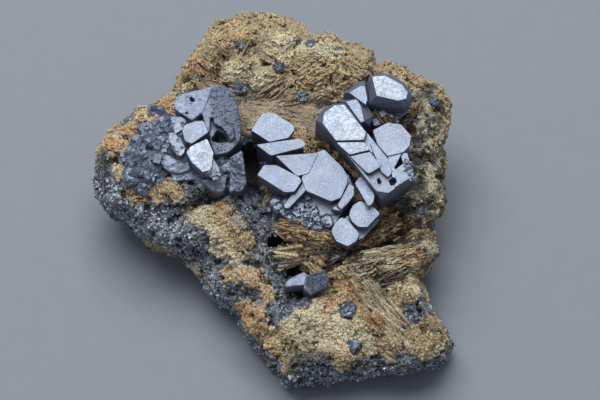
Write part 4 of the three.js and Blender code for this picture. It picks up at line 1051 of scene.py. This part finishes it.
crystalFinishes = [  # slot, material, tone, metallic, roughness, pits, nodes
    ("galena_bright", "galena_bright", "bright", 0.7, 0.52, 0.25,
     ["galena_skeletal_crystal", "galena_crest_crystal", "galena_twin_steps", "galena_west_block",
      "galena_central_cluster", "galena_south_cluster", "galena_north_plate", "galena_north_strip",
      "galena_left_upper_block", "galena_left_lower_block", "galena_left_plates"]),
    ("galena_tarnished", "galena_tarnished", "tarnished", 0.65, 0.45, 0.6,
     ["galena_hopper_crystal", "galena_crescent_plates", "galena_pillar", "galena_tarnished_mass",
      "galena_small_cube"]),
    ("dark_sulphide", "dark_grain", "grain", 0.6, 0.4, 0.6, grainNodes),
]


def crystalColour(tree, place, tone, upFace, pit, pits):
    # Painted light and shade: lighter on faces that look along the common axis, darker on the sides; then
    # frost that is partly a painted highlight, dulled places, and painted shade in pits, dots and hollows
    look, dulled = crystalLook, vertexValue(tree, "dulled")
    # Painted shade on the sides, painted light on the faces along the common axis
    colour = mixColours(tree, upFace, look[tone + "Side"], look[tone])
    # Frost, partly a painted highlight: lighter only on the faces along the common axis in the frosted places
    mottle = rampMask(tree, noiseValue(tree, place, 700.0, 4.0, 0.7), 0.38, 0.6)
    frostAndHighlight = times(tree, times(tree, vertexValue(tree, "frostedAndHighlit"), upFace), mottle)
    colour = mixColours(tree, frostAndHighlight, colour, look["frostAndHighlight"])
    colour = tinted(tree, place, overlay(tree, colour, dulled, 0.8, look["dull"]), 0.2, 0.2)
    # Painted shade in the pits
    colour = overlay(tree, colour, pit, pits, look["shadedHole"])
    dots = grainsAt(tree, place, 1150.0)
    middle = rampMask(tree, dots["Height"], 0.44, 0.6)
    chosen = rampMask(tree, dots["Own value"], 0.22, 0.32)
    # Painted shade in dots on the dulled places
    colour = overlay(tree, colour, times(tree, times(tree, middle, chosen), dulled), 0.85, look["shadedHole"])
    # Painted shade in the hollows of the rough skins
    return overlay(tree, colour, rampMask(tree, vertexValue(tree, "deep"), 0.3, 0.9), 0.6, look["shadedHole"])


def crystalMaterial(name, tone, metallic, rough, pits):
    # Lead-grey metal, less metallic on the sides, with a finely grained and pitted surface
    material, tree, shader, place = newMaterial(name)
    upFace = vertexValue(tree, "upFace")
    pit = rampMask(tree, noiseValue(tree, place, 900.0, 3.0, 0.65), 0.62, 0.72)
    height = mathNode(tree, "SUBTRACT", grainsAt(tree, place, 3600.0)["Height"], times(tree, pit, 2.0 * pits))
    bump = addNode(tree, "ShaderNodeBump", {"Height": height, "Strength": 0.48, "Distance": 0.00015})
    feed(tree, shader.inputs["Base Color"], crystalColour(tree, place, tone, upFace, pit, pits))
    feed(tree, shader.inputs["Metallic"], remap(tree, upFace, 0.45 * metallic, metallic))
    feed(tree, shader.inputs["Roughness"], rough)
    feed(tree, shader.inputs["Normal"], bump.outputs["Normal"])
    return material


def sinkSmallFaces(work):
    # Hopper growth: the small upward faces are sunk twice, each time inside a raised rim
    low, high = crystalLook["hopperArea"]
    axis = Vector(faceAxis)
    for inset, depth in crystalLook["hopperSteps"]:
        small = [face for face in work.faces if low < face.calc_area() * 1e6 < high
                 and abs(face.normal.dot(axis)) > 0.8 and face.normal.z > 0]
        bmesh.ops.inset_individual(work, faces=small, thickness=inset * 0.001, depth=-depth * 0.001)


def crystalMesh(node):
    # A copy of a solid's mesh with its loose triangles merged and its flat regions joined
    mesh = bpy.data.meshes.new(node + "_crystal")
    work = bmesh.new()
    work.from_mesh(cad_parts[node].data)
    bmesh.ops.remove_doubles(work, verts=work.verts, dist=2e-6)
    bmesh.ops.dissolve_limit(work, angle_limit=math.radians(0.6), verts=work.verts, edges=work.edges)
    if node in crystalLook["hoppers"]:
        sinkSmallFaces(work)
    work.to_mesh(mesh)
    work.free()
    return mesh


def markSkin(mesh, domain, places, normals, **values):
    # Kept on a skin: how far each place looks along the common axis, and whether it is frosted with a painted
    # highlight or dulled
    across, up = asSeen(toSight(places))
    values["upFace"] = smoothStep(0.8, 0.97, normals @ faceAxis)
    for key in ("frostedAndHighlit", "dulled"):
        values[key] = smoothStep(-0.6, 0.6, capsuleField(crystalLook[key], across, up))
    keepValues(mesh, domain, values)
    mesh.polygons.foreach_set("use_smooth", np.zeros(len(mesh.polygons), bool))


def crystalCopy(node):
    # A skin with slightly rounded edges
    mesh = crystalMesh(node)
    faces = mesh.polygons
    markSkin(mesh, "FACE", readVectors(faces, "center") * 1000, readVectors(faces, "normal"))
    piece = newPiece(node + "_crystal", mesh)
    bevel = piece.modifiers.new("worn edge", "BEVEL")
    bevel.width, bevel.segments = crystalLook["edge"], 2
    bevel.limit_method, bevel.angle_limit = "ANGLE", math.radians(25)
    bevel.use_clamp_overlap = False
    return piece


def roughCopy(node, voxel, lump, fine, pits):
    # An evenly remeshed skin, moved along its normals by two noises and grains, less pits
    plain = newPiece(node + "_crystal", crystalMesh(node))
    even = plain.modifiers.new("even mesh", "REMESH")
    even.mode, even.voxel_size = "VOXEL", voxel * 0.001
    mesh = bpy.data.meshes.new_from_object(plain.evaluated_get(bpy.context.evaluated_depsgraph_get()))
    bpy.data.objects.remove(plain)
    points, normals = readVectors(mesh.vertices, "co") * 1000, readVectors(mesh.vertex_normals, "vector")
    shadedHole = smoothStep(0.42, 0.6, solidNoise(points, 1.3, 52)) * pits
    grain, _ = grainField(points, 1.6, 53)
    lumps = lump * solidNoise(points, 3.2, 51) + lump * 0.8 * (0.6 - grain)
    move = lumps + fine * solidNoise(points, 0.9, 54) - 0.8 * shadedHole
    points = points + normals * move[:, None]
    mesh.vertices.foreach_set("co", (points * 0.001).astype(np.float32).ravel())
    # Painted shade kept where the skin sinks into pits
    markSkin(mesh, "POINT", points, normals, deep=np.clip(shadedHole - move, 0, 1))
    return newPiece(node + "_crystal", mesh)


roughness = {  # voxel, lumps, fine relief and pits, in millimetres
    "galena_hopper_crystal": (0.28, 0.05, 0.05, 0.2), "galena_crescent_plates": (0.28, 0.25, 0.15, 0.3),
    "galena_pillar": (0.3, 0.35, 0.2, 0.3), "galena_tarnished_mass": (0.28, 0.4, 0.14, 0.2),
    "galena_small_cube": (0.25, 0.06, 0.1, 0.15), "galena_left_plates": (0.25, 0.16, 0.12, 0.4),
    **dict.fromkeys(grainNodes, (0.25, 0.5, 0.3, 0.7)),
}


def addCrystals():
    # Each solid's skin, then splinters on the bright crystals and facets and splinters on the dark ones
    materials, skins = {}, {}
    for slotName, materialName, tone, metallic, rough, pits, nodes in crystalFinishes:
        materials[slotName] = crystalMaterial(materialName, tone, metallic, rough, pits)
        for node in nodes:
            skins[node] = roughCopy(node, *roughness[node]) if node in roughness else crystalCopy(node)
            dress(skins[node], materials[slotName], slotName, node)
    grains, mass = [skins[node] for node in grainNodes], "galena_tarnished_mass"
    loose = (
        ("galena_bright", addShards("galena_shards", shards, 0.22), ["galena_central_cluster"]),
        ("dark_sulphide", addFacets("grain_facets", grains, 70, (0.12, 0.42), 2.4), grainNodes),
        ("galena_tarnished", addFacets("mass_facets", [skins[mass]], 900, (0.25, 0.85), 14), [mass]),
        ("galena_tarnished", addShards("tarnished_fill", fills, 0.5), [mass]),
    )
    for slotName, piece, nodes in loose:
        dress(piece, materials[slotName], slotName, *nodes)


addCrystals()
print("crystals added")


# Floor, light and camera
stageLook = {"floor": linear(150, 154, 161), "floorSize": 6.0, "sky": (0.2, 0.22, 0.25, 1), "skyPower": 1.0,
             "softbox": (-0.12, 0.34, 1.05), "softboxSize": (0.95, 0.8), "softboxPower": 11.5,
             "softboxColour": (0.93, 0.97, 1.0), "aim": (0, 0, 0.02), "lens": 120.0, "sensor": 36.0}


def plainMaterial(name, colour, rough):
    material, tree, shader, place = newMaterial(name)
    feed(tree, shader.inputs["Base Color"], tinted(tree, place, colour, 0.03, 0.02))
    feed(tree, shader.inputs["Roughness"], rough)
    return material


def addStage():
    half = stageLook["floorSize"] / 2
    corners = np.array([(-half, -half, 0), (half, -half, 0), (half, half, 0), (-half, half, 0)]) * 1000
    floor = meshObject("floor", corners, [np.array([[0, 1, 2, 3]])], smooth=False)
    floor.data.materials.append(plainMaterial("floor", stageLook["floor"], 0.8))


def addLight():
    light = bpy.data.lights.new("softbox", "AREA")
    light.shape = "RECTANGLE"
    light.size, light.size_y = stageLook["softboxSize"]
    light.energy = stageLook["softboxPower"]
    light.color = stageLook["softboxColour"]
    lamp = newPiece("softbox", light)
    lamp.location = stageLook["softbox"]
    aim = Vector(stageLook["aim"]) - lamp.location
    lamp.rotation_euler = aim.to_track_quat("-Z", "Y").to_euler()
    world = bpy.data.worlds.new("surroundings")
    bpy.context.scene.world = world
    world.use_nodes = True
    sky = world.node_tree.nodes["Background"]
    sky.inputs["Color"].default_value = stageLook["sky"]
    sky.inputs["Strength"].default_value = stageLook["skyPower"]


def addCamera():
    # The eye on the line of sight: straight above the outline's plane, looking down it.
    camera = bpy.data.cameras.new("camera")
    camera.lens, camera.sensor_width = stageLook["lens"], stageLook["sensor"]
    eye = newPiece("camera", camera)
    eye.location = Vector(toWorld(np.array([[sight["aimAcross"], 0, sight["distance"]]]))[0] * 0.001)
    eye.rotation_euler = (math.radians(90 - sight["rise"]), 0, 0)
    bpy.context.scene.camera = eye


addStage()
addLight()
addCamera()
bpy.context.scene.view_settings.view_transform = "Standard"
print("floor, light and camera added")
